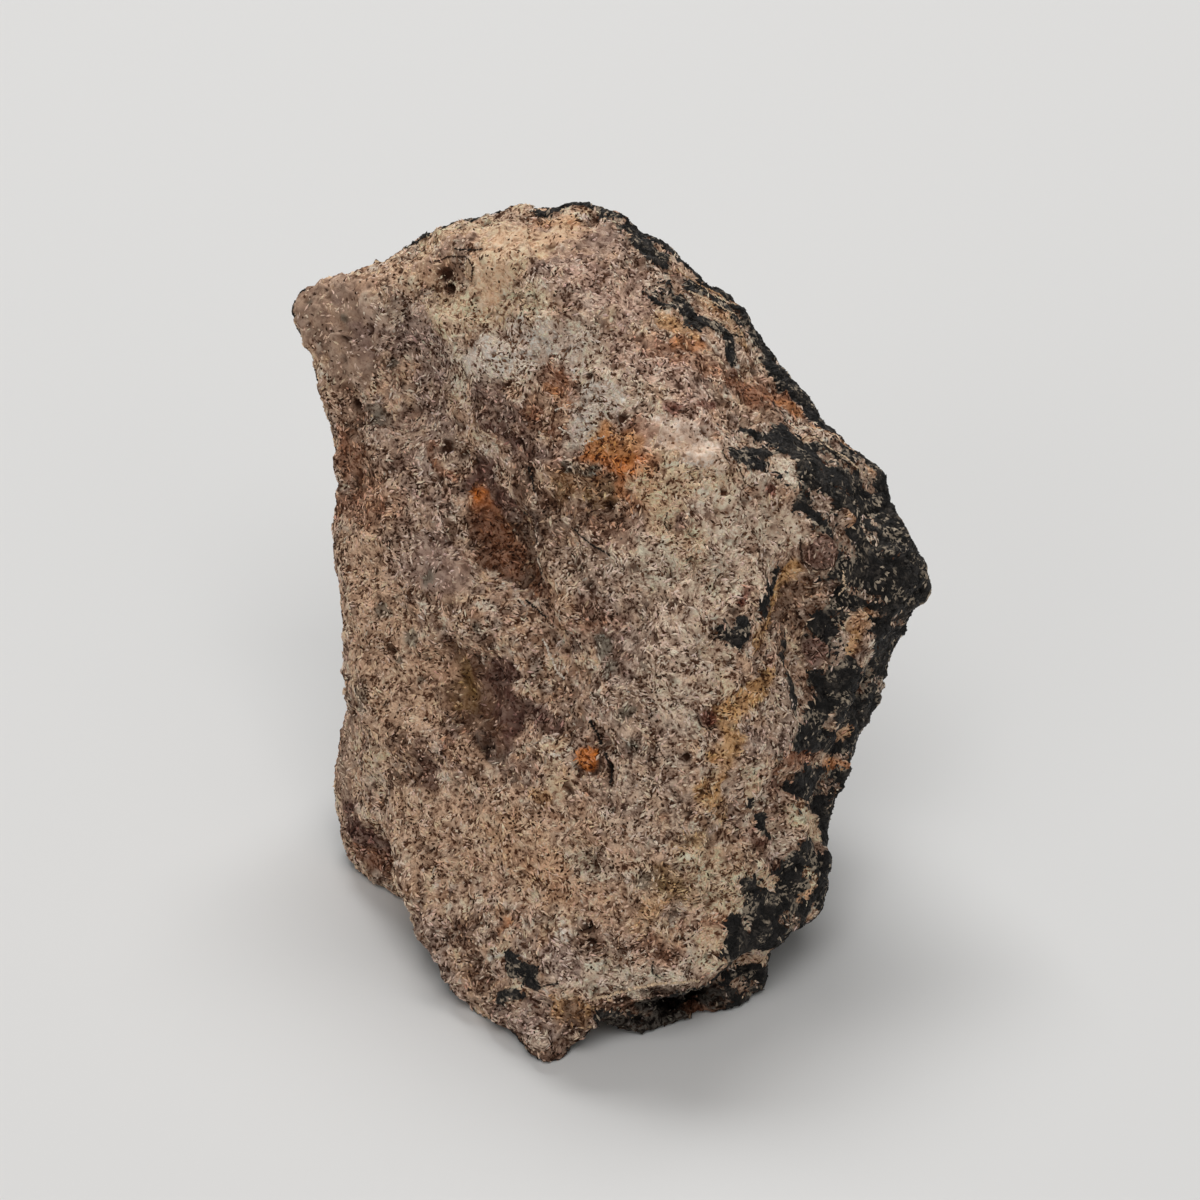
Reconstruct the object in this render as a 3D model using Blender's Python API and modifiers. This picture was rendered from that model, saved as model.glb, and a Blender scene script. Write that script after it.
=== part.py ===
"""A chondrite meteorite: one weathered stone that stands on a small flat spot.

Frame: +X to the right of the broken face, +Y away from it, +Z up. The origin is the middle of the
stone's footprint box, on the surface that it stands on. The numbers in the tables are millimetres,
and their own zero is a little off the origin: the finished stone is brought onto it at the end.
"""

import bmesh
import bpy
from mathutils import Vector, noise

MM = 0.001

# Corners of the rough block that the stone is worn down from.
BROKEN_FACE = {
    "brow": (5.9, -1.3, 31.2),
    "upper crest": (0.4, 5.3, 36.2),
    "crest end": (-5.2, 9.7, 38.0),
    "upper nose": (5.9, -5.9, 27.2),
    "middle nose": (4.2, -9.2, 22.8),
    "lower nose": (6.2, -12.1, 17.5),
    "belly": (3.4, -14.8, 12.4),
    "lip left": (-1.5, -17.0, 6.0),
    "lip middle": (2.0, -17.4, 5.6),
    "lip right": (7.0, -15.2, 5.2),
    "left chin": (-9.6, -12.0, 2.2),
    "left cheek": (-6.0, -6.5, 15.0),
    "left jaw": (-11.6, -8.4, 5.4),
}
LEFT_RIM = {
    "horn top": (-17.7, 17.8, 31.9),
    "horn tip": (-18.8, 17.3, 31.6),
    "horn back": (-17.0, 19.0, 31.6),
    "left rim upper": (-15.2, 13.6, 24.0),
    "left rim middle": (-14.8, 11.3, 18.0),
    "left rim lower": (-15.4, 5.5, 8.0),
    "left heel": (-16.2, 3.0, 2.6),
    "left heel foot": (-13.8, 0.4, -0.6),
}
TOP_RIM = {
    "rim step": (-12.4, 18.4, 33.4),
    "rim": (-9.4, 17.6, 36.6),
    "rim knob": (-5.1, 17.0, 38.4),
    "summit": (-0.6, 16.2, 38.6),
    "summit shoulder": (3.2, 14.9, 37.4),
}
RIGHT_RIM = {
    "upper shoulder": (7.9, 12.8, 33.3),
    "shoulder": (9.3, 10.4, 29.1),
    "lower shoulder": (12.5, 7.8, 26.5),
    "elbow": (17.0, 6.0, 24.7),
    "apex": (20.3, 3.2, 19.9),
    "below apex": (15.4, 1.6, 16.6),
    "right edge": (15.0, -2.6, 12.6),
    "right hip": (13.6, -7.6, 7.6),
    "right heel": (13.5, -8.2, 5.4),
    "right knob": (10.2, -10.4, 0.0),
}
CRUSTED_BACK = {
    "back crown": (1.0, 21.0, 33.0),
    "back left shoulder": (-11.0, 22.5, 28.0),
    "back right shoulder": (11.5, 17.0, 23.0),
    "back middle": (-3.0, 22.0, 18.0),
    "back left hip": (-13.6, 16.5, 12.0),
    "back right hip": (12.0, 12.0, 11.0),
    "back heel left": (-8.0, 14.0, 3.4),
    "back heel right": (6.5, 11.6, 3.0),
    "right heel inside": (11.0, 2.0, 2.4),
}
FOOTING = {
    "foot left": (-6.5, -13.5, -0.6),
    "foot tip": (-3.2, -17.3, -0.6),
    "base edge left": (1.0, -14.8, 1.2),
    "base edge right": (6.8, -13.8, 1.2),
    "sole front": (4.6, -7.0, -0.6),
    "sole left": (-9.0, 6.0, -0.7),
    "sole back": (-1.0, 9.0, -0.7),
    "sole right": (7.0, 3.0, -0.7),
}

# Hollows and swellings of the worn surface: the two ends of each one's bed or ridge line, how far
# it reaches to the sides, and how deep or high it is.
FRONT_HOLLOWS = {
    "upper scoop": ((-11.0, 9.5, 29.0), (-5.9, 1.5, 23.4), 4.6, 1.9),
    "lower scoop": ((-5.9, 1.5, 23.4), (-2.0, -5.5, 19.8), 3.4, 1.7),
    "dark bowl": ((-8.0, -2.6, 16.6), (-4.6, -4.2, 16.8), 4.4, 1.9),
    "cleft": ((-0.3, -8.9, 18.2), (0.4, -10.2, 16.2), 1.8, 1.5),
    "upper left dish": ((-11.6, 11.4, 32.0), (-12.0, 9.8, 29.0), 3.2, 1.2),
    "left rim hollow": ((-15.2, 10.6, 27.0), (-15.2, 8.4, 21.5), 3.0, 1.2),
    "socket": ((-8.8, 12.1, 36.2), (-8.4, 11.4, 35.4), 2.0, 1.2),
    "brow dish": ((1.4, 9.6, 36.6), (3.6, 5.0, 34.6), 3.0, 0.7),
    "scoop under the apex": ((11.0, -2.6, 22.6), (12.2, -4.6, 16.6), 3.6, 1.9),
    "cheek dish": ((-9.4, -6.6, 10.0), (-7.0, -9.4, 7.4), 3.6, 0.9),
    "recess under the lip": ((0.2, -15.9, 3.4), (8.8, -12.9, 3.2), 1.9, 1.7),
    "rusty cavity": ((4.4, -14.4, 2.8), (6.2, -13.8, 2.8), 1.7, 1.9),
    "gap beside the foot": ((-0.4, -16.0, 0.6), (1.6, -14.0, 0.2), 2.0, 1.6),
    "pit below the nose": ((1.0, -15.6, 9.2), (1.2, -15.8, 8.6), 2.2, 0.8),
}
SIDE_HOLLOWS = {
    "left flute": ((-16.6, 15.0, 26.0), (-16.2, 7.0, 11.0), 4.2, 1.6),
    "left notch": ((-13.0, -4.5, 1.0), (-12.5, -3.5, 4.0), 3.4, 1.7),
    "left thumbprint": ((-15.7, 12.5, 13.0), (-15.4, 10.5, 9.0), 4.0, 1.3),
    "right flute": ((18.4, 0.8, 16.8), (13.8, -6.0, 10.0), 3.6, 2.0),
    "right notch": ((11.4, -10.0, 2.6), (11.0, -7.0, 1.6), 2.6, 1.4),
    "right thumbprint": ((15.6, 5.6, 13.4), (15.0, 4.0, 9.4), 4.6, 1.7),
    "shoulder dip": ((9.0, 11.6, 32.0), (12.6, 8.2, 27.6), 3.2, 0.6),
    "right small thumbprint": ((14.0, 10.4, 22.6), (13.4, 10.8, 20.6), 3.4, 1.1),
    "right low thumbprint": ((13.2, -2.0, 5.4), (12.6, 1.0, 4.4), 3.2, 1.1),
}
BACK_HOLLOWS = {
    "back high thumbprint": ((-8.6, 22.0, 29.4), (-5.6, 21.8, 27.4), 5.6, 1.9),
    "back right thumbprint": ((4.2, 19.8, 28.0), (6.6, 18.4, 24.4), 5.0, 1.8),
    "back middle thumbprint": ((-2.6, 21.6, 20.0), (0.4, 20.2, 17.4), 4.8, 1.7),
    "back left thumbprint": ((-11.4, 20.0, 20.0), (-10.4, 19.0, 16.6), 4.4, 1.6),
    "back low thumbprint": ((-6.4, 17.6, 10.6), (-3.0, 17.0, 8.8), 4.8, 1.6),
    "back corner thumbprint": ((9.0, 14.4, 14.4), (10.8, 12.4, 11.0), 4.2, 1.5),
    "back heel thumbprint": ((4.0, 13.4, 5.6), (6.0, 12.0, 4.6), 3.6, 1.2),
    "crown thumbprint": ((-8.4, 19.4, 35.2), (-4.6, 19.4, 36.0), 2.8, 0.9),
}
UNDERSIDE_HOLLOWS = {
    "front of the sole": ((1.2, -11.6, -0.2), (6.6, -10.6, 0.0), 2.8, 1.6),
    "left of the sole": ((-10.6, -5.4, -0.4), (-8.4, -8.4, -0.4), 3.4, 1.8),
    "right of the sole": ((9.6, -3.0, 0.2), (10.4, 0.6, 0.8), 2.8, 1.2),
}
SWELLINGS = {
    "foot": ((-3.2, -16.6, 0.8), (-3.0, -14.6, 0.8), 2.4, 1.6),
    "heel": ((-15.4, 2.0, 3.0), (-14.4, 1.0, 1.0), 2.6, 0.5),
    "ridge beside the scoop": ((-1.6, -4.2, 22.6), (1.0, -9.6, 18.6), 1.9, 0.7),
    "ridge below the scoop": ((-10.0, 1.4, 21.8), (-4.6, -2.2, 20.0), 2.2, 0.3),
    "ochre ridge": ((8.0, -5.4, 24.4), (7.4, -10.4, 16.8), 2.3, 0.7),
    "low ochre ridge": ((7.4, -10.4, 16.8), (4.4, -14.0, 10.6), 2.2, 0.6),
    "horn": ((-18.4, 17.6, 31.6), (-17.8, 17.6, 31.8), 2.2, 0.2),
    "back ridge": ((-12.0, 21.4, 24.0), (4.4, 19.6, 22.8), 2.6, 0.8),
    "back low ridge": ((-9.6, 17.6, 13.6), (8.0, 15.6, 12.4), 2.4, 0.7),
}

WORKING_VOXEL = 0.65 * MM
TRIANGLES = 9700  # of the finished stone
WORN_ROUND = 4  # smoothing passes that wear the block's edges round
LUMP_SIZE = 5.0 * MM
LUMP_HEIGHT = 0.6 * MM
KNOB_SIZE = 2.4 * MM
KNOB_HEIGHT = 0.6 * MM
LUMP_SEED = 3.7
KNOB_SEED = 8.1
FOOTPRINT_CUT = 0.3 * MM  # where the sole is worn flat
STONE_COLOUR = (0.36, 0.28, 0.22, 1.0)
STONE_ROUGHNESS = 0.9


def clear_scene():
    for obj in list(bpy.data.objects):
        bpy.data.objects.remove(obj)


def rough_block(name):
    """The convex block between all the corners."""
    bm = bmesh.new()
    for group in (BROKEN_FACE, LEFT_RIM, TOP_RIM, RIGHT_RIM, CRUSTED_BACK, FOOTING):
        for corner in group.values():
            bm.verts.new(Vector(corner) * MM)
    hull = bmesh.ops.convex_hull(bm, input=bm.verts)
    inside = [g for g in hull["geom_interior"] if isinstance(g, bmesh.types.BMVert)]
    bmesh.ops.delete(bm, geom=inside, context="VERTS")
    mesh = bpy.data.meshes.new(name)
    bm.to_mesh(mesh)
    bm.free()
    return mesh


def with_modifier(mesh, kind, **settings):
    """The mesh that one modifier makes of the given one."""
    carrier = bpy.data.objects.new("carrier", mesh)
    bpy.context.scene.collection.objects.link(carrier)
    modifier = carrier.modifiers.new(kind, kind)
    for setting, value in settings.items():
        setattr(modifier, setting, value)
    graph = bpy.context.evaluated_depsgraph_get()
    made = bpy.data.meshes.new_from_object(carrier.evaluated_get(graph))
    bpy.data.objects.remove(carrier)
    return made


def evenly_meshed(mesh, voxel):
    """The same surface, made again from even square faces."""
    return with_modifier(mesh, "REMESH", mode="VOXEL", voxel_size=voxel)


def thinned(mesh, triangles):
    """The same surface with fewer triangles, which stay small at edges and in pits."""
    now = sum(len(p.vertices) - 2 for p in mesh.polygons)
    return with_modifier(mesh, "DECIMATE", ratio=triangles / now)


def reach(point, start, end, width):
    """1 on the line from start to end, falling smoothly to 0 at the given distance from it."""
    along = end - start
    share = (point - start).dot(along) / along.length_squared
    nearest = start + along * min(max(share, 0.0), 1.0)
    gap = (point - nearest).length / width
    return (1 - gap * gap) ** 2 if gap < 1 else 0.0


def carve(bm, table, outward):
    """Moves the surface in (-1) or out (+1) along its own normals where the table says."""
    for start, end, width, depth in table.values():
        start = Vector(start) * MM
        end = Vector(end) * MM
        bm.normal_update()
        moves = {}
        for vert in bm.verts:
            share = reach(vert.co, start, end, width * MM)
            if share:
                moves[vert] = vert.normal * (share * depth * MM * outward)
        for vert, move in moves.items():
            vert.co += move


def roughen(bm, size, height, seed):
    """Uneven lumps of about the given size, as weathering leaves them."""
    bm.normal_update()
    shift = Vector((seed, seed, seed))
    moves = [noise.noise(v.co / size + shift) * height for v in bm.verts]
    for vert, move in zip(bm.verts, moves):
        vert.co += vert.normal * move


def worn_stone(name):
    mesh = evenly_meshed(rough_block(name), WORKING_VOXEL)
    bm = bmesh.new()
    bm.from_mesh(mesh)
    for _ in range(WORN_ROUND):
        bmesh.ops.smooth_vert(
            bm, verts=bm.verts, factor=0.5, use_axis_x=True, use_axis_y=True, use_axis_z=True
        )
    for table in (FRONT_HOLLOWS, SIDE_HOLLOWS, BACK_HOLLOWS, UNDERSIDE_HOLLOWS):
        carve(bm, table, -1)
    carve(bm, SWELLINGS, 1)
    roughen(bm, LUMP_SIZE, LUMP_HEIGHT, LUMP_SEED)
    roughen(bm, KNOB_SIZE, KNOB_HEIGHT, KNOB_SEED)
    bm.to_mesh(mesh)
    bm.free()
    return thinned(evenly_meshed(mesh, WORKING_VOXEL), TRIANGLES)


def stand_on_flat_spot(mesh):
    """Wears the sole flat and brings the stone onto the origin."""
    bm = bmesh.new()
    bm.from_mesh(mesh)
    cut = bmesh.ops.bisect_plane(
        bm,
        geom=bm.verts[:] + bm.edges[:] + bm.faces[:],
        plane_co=(0, 0, FOOTPRINT_CUT),
        plane_no=(0, 0, 1),
        clear_inner=True,
    )
    rim = [g for g in cut["geom_cut"] if isinstance(g, bmesh.types.BMEdge)]
    bmesh.ops.holes_fill(bm, edges=rim)
    bmesh.ops.triangulate(bm, faces=[f for f in bm.faces if len(f.verts) > 4])
    bmesh.ops.recalc_face_normals(bm, faces=bm.faces)
    low = Vector([min(v.co[i] for v in bm.verts) for i in range(3)])
    high = Vector([max(v.co[i] for v in bm.verts) for i in range(3)])
    middle = (low + high) / 2
    bmesh.ops.translate(bm, verts=bm.verts, vec=(-middle.x, -middle.y, -low.z))
    bm.to_mesh(mesh)
    bm.free()


def stone_material():
    material = bpy.data.materials.new("weathered chondrite")
    material.use_nodes = True
    surface = material.node_tree.nodes["Principled BSDF"]
    surface.inputs["Base Color"].default_value = STONE_COLOUR
    surface.inputs["Roughness"].default_value = STONE_ROUGHNESS
    surface.inputs["Metallic"].default_value = 0.0
    return material


def main():
    clear_scene()
    collection = bpy.data.collections.new("chondrite meteorite")
    bpy.context.scene.collection.children.link(collection)
    mesh = worn_stone("meteorite_stone")
    stand_on_flat_spot(mesh)
    mesh.name = "meteorite_stone"
    mesh.materials.clear()
    mesh.materials.append(stone_material())
    mesh.shade_smooth()
    stone = bpy.data.objects.new("meteorite_stone", mesh)
    collection.objects.link(stone)


main()
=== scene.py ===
"""The looks of a chondrite meteorite: a broken, rust-stained face and a dark fused crust on one stone."""

import math
import random
from collections import namedtuple

import bmesh
import bpy
import numpy as np
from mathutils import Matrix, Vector, noise
from mathutils.bvhtree import BVHTree


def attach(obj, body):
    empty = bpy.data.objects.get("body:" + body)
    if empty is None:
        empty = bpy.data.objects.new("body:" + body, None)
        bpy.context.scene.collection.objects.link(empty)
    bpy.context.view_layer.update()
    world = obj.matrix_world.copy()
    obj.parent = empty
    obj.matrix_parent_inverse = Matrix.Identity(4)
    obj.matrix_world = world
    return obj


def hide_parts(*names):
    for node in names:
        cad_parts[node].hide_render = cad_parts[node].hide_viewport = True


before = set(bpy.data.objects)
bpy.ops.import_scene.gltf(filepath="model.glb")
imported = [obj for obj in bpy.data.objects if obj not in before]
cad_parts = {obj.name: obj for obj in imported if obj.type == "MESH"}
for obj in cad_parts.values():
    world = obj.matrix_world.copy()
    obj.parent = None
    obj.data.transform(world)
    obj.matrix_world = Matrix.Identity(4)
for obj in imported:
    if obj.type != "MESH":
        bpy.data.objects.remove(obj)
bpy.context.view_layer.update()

MM = 0.001
STONE_NODE = "meteorite_stone"

# The camera stands where the photograph was taken from. Its frame is 1200 pixels wide.
PHOTO_WIDTH = 1200
PHOTO_MIDDLE = PHOTO_WIDTH / 2
PIXELS_PER_MM = 17.0
CAMERA_ELEVATION = math.radians(32)
CAMERA_DISTANCE = 230 * MM
AIM = Vector((-0.746, -2.061, 20.2)) * MM
SENSOR_WIDTH = 36.0
NEAREST_SHOWN = 10 * MM
TO_THE_RIGHT = Vector((1, 0, 0))
UP_THE_PICTURE = Vector((0, math.sin(CAMERA_ELEVATION), math.cos(CAMERA_ELEVATION)))
TO_THE_CAMERA = Vector((0, -math.cos(CAMERA_ELEVATION), math.sin(CAMERA_ELEVATION)))
CAMERA_PLACE = AIM + TO_THE_CAMERA * CAMERA_DISTANCE

# How finely the surface is divided: the longest edge in mm, on the side that the camera sees and behind it.
FRONT_EDGE = 0.29
BACK_EDGE = 0.55
# An edge is on the near side where its two normals together face the camera by more than this.
FRONT_STARTS = -0.15
REFINING_PASSES = 7
# How much each pass evens out the points, from 0 to 1.
EVENING = 0.5
# Points nearer to each other than this are joined.
WELD = 0.001 * MM
# Keeps a division from meeting 0.
TINY = 1e-9
# The relief fades out towards the flat spot over this height in mm.
FLAT_SPOT_FADE = 0.7
# How far in front of and behind the aim the edge of the stone is looked for, in mm.
SEARCH_DEPTH = 24

# Colours of the stone's own minerals and stains.
TAN = (0.49, 0.355, 0.26)
WARM_TAN = (0.55, 0.39, 0.27)
ORANGE_TAN = (0.56, 0.35, 0.20)
CREAM = (0.84, 0.64, 0.44)
GREY_CREAM = (0.70, 0.585, 0.47)
CHALK = (0.88, 0.78, 0.66)
PALEST = (0.93, 0.86, 0.76)
GREY_TAN = (0.40, 0.32, 0.255)
TAUPE = (0.36, 0.275, 0.21)
MAUVE_GREY = (0.30, 0.225, 0.19)
DUSTY_PINK = (0.43, 0.305, 0.25)
BROWN = (0.13, 0.068, 0.038)
DARK_BROWN = (0.055, 0.03, 0.02)
PURPLE_BROWN = (0.115, 0.058, 0.044)
RUST = (0.43, 0.195, 0.08)
ORANGE_RUST = (0.62, 0.20, 0.03)
RUST_BROWN = (0.23, 0.105, 0.055)
RED_BROWN = (0.13, 0.036, 0.02)
OCHRE = (0.50, 0.30, 0.125)
OLIVE_BROWN = (0.24, 0.15, 0.06)
GREEN_GREY = (0.11, 0.108, 0.085)
NEARLY_BLACK = (0.022, 0.018, 0.015)
SOOT = (0.011, 0.0098, 0.009)
SLATE = (0.030, 0.026, 0.0235)
WORN_CRUST = (0.062, 0.052, 0.044)
DUST = (0.42, 0.34, 0.255)

# What the stain colour is multiplied by in the ground, the pale flakes and the pits, and on the specks.
GROUND_TINT = (0.93, 0.79, 0.73)
PALE_TINT = (1.75, 1.60, 1.50)
PIT_TINT = (0.17, 0.095, 0.07)
SPECK_TINT = (0.15, 0.09, 0.06)
# How much chalk there is in the material's own pale flakes.
CHALK_SHARE = 0.12

# Broad stains of the broken face: colour, pixels that the brush goes through, radius in mm, strength.
STAINS = [
    (WARM_TAN, [(375, 520), (380, 640), (400, 720)], 2.8, 0.9),
    (GREY_TAN, [(610, 560), (650, 640), (650, 740), (630, 800)], 2.8, 0.55),
    (GREY_CREAM, [(690, 580), (700, 660), (680, 700)], 2.0, 0.45),
    (WARM_TAN, [(420, 820), (560, 850), (600, 880)], 3.2, 0.75),
    (ORANGE_TAN, [(500, 835), (550, 875)], 1.7, 0.5),
    (TAUPE, [(312, 305), (345, 305), (345, 360)], 1.9, 0.85),
    (WARM_TAN, [(370, 285), (425, 262)], 1.2, 0.6),
    # The cream over the top is its pale coating, made lighter as painted light where the light from above
    # falls on it.
    (CREAM, [(425, 245), (500, 222)], 1.2, 0.6),
    (CREAM, [(482, 272), (508, 240)], 1.75, 1.0),
    (CREAM, [(510, 262), (560, 232)], 1.3, 0.85),
    (CREAM, [(440, 318), (500, 300), (540, 318)], 1.5, 0.7),
    (ORANGE_TAN, [(532, 222), (572, 219)], 0.6, 0.85),
    (GREY_CREAM, [(455, 372), (520, 345), (570, 350)], 1.6, 0.9),
    (CHALK, [(480, 362), (520, 345), (560, 354)], 1.5, 0.9),
    (GREY_CREAM, [(585, 330), (620, 370), (640, 400)], 1.5, 0.5),
    (MAUVE_GREY, [(552, 262), (610, 235)], 1.5, 0.7),
    (MAUVE_GREY, [(565, 290), (590, 300)], 1.0, 0.6),
    (DUSTY_PINK, [(585, 270), (625, 310), (640, 290)], 1.5, 0.75),
    (MAUVE_GREY, [(375, 335), (415, 332), (440, 356)], 1.8, 0.95),
    (MAUVE_GREY, [(425, 385), (440, 420)], 1.3, 0.6),
    (MAUVE_GREY, [(395, 430), (430, 500), (400, 560)], 1.7, 0.6),
    (MAUVE_GREY, [(590, 600), (625, 640)], 1.0, 0.45),
    (DUSTY_PINK, [(630, 345), (690, 385), (700, 410)], 1.6, 0.65),
    (PURPLE_BROWN, [(478, 398), (515, 425), (530, 455)], 1.45, 0.85),
    (MAUVE_GREY, [(425, 560), (455, 580)], 1.5, 0.8),
    (MAUVE_GREY, [(545, 455), (560, 470)], 0.9, 0.6),
    (CHALK, [(658, 430), (700, 440)], 1.4, 0.9),
    (CREAM, [(660, 468), (715, 478)], 1.6, 0.95),
    (CREAM, [(655, 505), (690, 545)], 1.2, 0.8),
    (GREY_CREAM, [(725, 515), (790, 530)], 1.9, 0.8),
    (GREY_CREAM, [(625, 552), (655, 565)], 1.4, 0.8),
    (GREY_CREAM, [(725, 560), (745, 580)], 1.4, 0.6),
    (CHALK, [(690, 458), (715, 462)], 0.8, 0.6),
    (CHALK, [(566, 402), (604, 398)], 0.9, 1.0),
    (CHALK, [(572, 440), (606, 425)], 1.0, 1.0),
    (TAUPE, [(448, 448), (456, 460)], 0.8, 0.6),
    (PURPLE_BROWN, [(482, 478), (505, 505)], 1.45, 1.0),
    (BROWN, [(525, 480), (535, 530)], 1.25, 0.9),
    (BROWN, [(495, 535), (530, 570)], 1.7, 1.0),
    (DARK_BROWN, [(500, 562), (514, 574)], 0.8, 0.9),
    (DARK_BROWN, [(530, 515), (538, 528)], 0.7, 0.8),
    (TAUPE, [(548, 548), (580, 575)], 1.0, 0.6),
    (RUST_BROWN, [(535, 590), (600, 628)], 1.3, 0.55),
    (BROWN, [(575, 520), (560, 500)], 1.1, 0.5),
    (BROWN, [(455, 662), (495, 690)], 1.8, 0.9),
    (PURPLE_BROWN, [(500, 672), (502, 732)], 1.3, 1.0),
    (PURPLE_BROWN, [(525, 712), (552, 722)], 0.95, 0.95),
    (BROWN, [(462, 718), (490, 738)], 1.1, 0.85),
    (DARK_BROWN, [(484, 743), (494, 758)], 0.5, 0.95),
    (BROWN, [(560, 688), (575, 712)], 0.9, 0.65),
    (BROWN, [(400, 742), (420, 770)], 1.3, 0.75),
    (PURPLE_BROWN, [(426, 745), (430, 780)], 0.8, 0.6),
    (BROWN, [(350, 395), (358, 418)], 0.75, 0.85),
    (GREEN_GREY, [(376, 412), (384, 420)], 0.6, 0.65),
    (BROWN, [(345, 425), (362, 482)], 1.2, 0.95),
    (RUST_BROWN, [(342, 500), (372, 512)], 1.1, 0.75),
    (BROWN, [(392, 440), (400, 465)], 0.8, 0.5),
    (BROWN, [(385, 520), (392, 540)], 0.8, 0.45),
    (TAUPE, [(345, 700), (345, 800)], 1.5, 0.75),
    (GREEN_GREY, [(362, 690), (358, 712)], 0.6, 0.6),
    (PURPLE_BROWN, [(350, 818), (378, 855)], 1.5, 1.0),
    (RUST_BROWN, [(356, 855), (388, 868)], 0.9, 0.85),
    (MAUVE_GREY, [(425, 935), (455, 990)], 1.3, 0.6),
    (BROWN, [(468, 940), (482, 980)], 1.0, 0.75),
    (BROWN, [(480, 1000), (505, 1012)], 0.8, 0.5),
    (GREY_CREAM, [(565, 968), (640, 985), (712, 965)], 1.2, 0.85),
    (CREAM, [(700, 862), (730, 895), (722, 950)], 1.7, 0.75),
    (GREY_CREAM, [(590, 992), (660, 984), (715, 978)], 0.55, 0.9),
    # Brown in the scoop under the apex is partly its own colour and partly painted shade of that hollow.
    (BROWN, [(778, 600), (812, 592)], 1.1, 0.85),
    (BROWN, [(778, 630), (786, 662)], 0.9, 0.75),
    (GREY_TAN, [(775, 700), (792, 742)], 1.7, 0.7),
    (MAUVE_GREY, [(755, 745), (790, 738)], 1.0, 0.6),
    (PURPLE_BROWN, [(766, 850), (778, 872)], 0.8, 0.7),
    # Brown on the under-face of the lip is partly its own colour and partly painted shade, because that face
    # is turned down.
    (BROWN, [(605, 1012), (660, 1012), (700, 1016)], 0.7, 0.9),
    (MAUVE_GREY, [(515, 1022), (545, 1045), (580, 1030)], 1.5, 0.85),
    (BROWN, [(520, 1040), (545, 1056), (575, 1048)], 0.7, 0.8),
]

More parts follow.
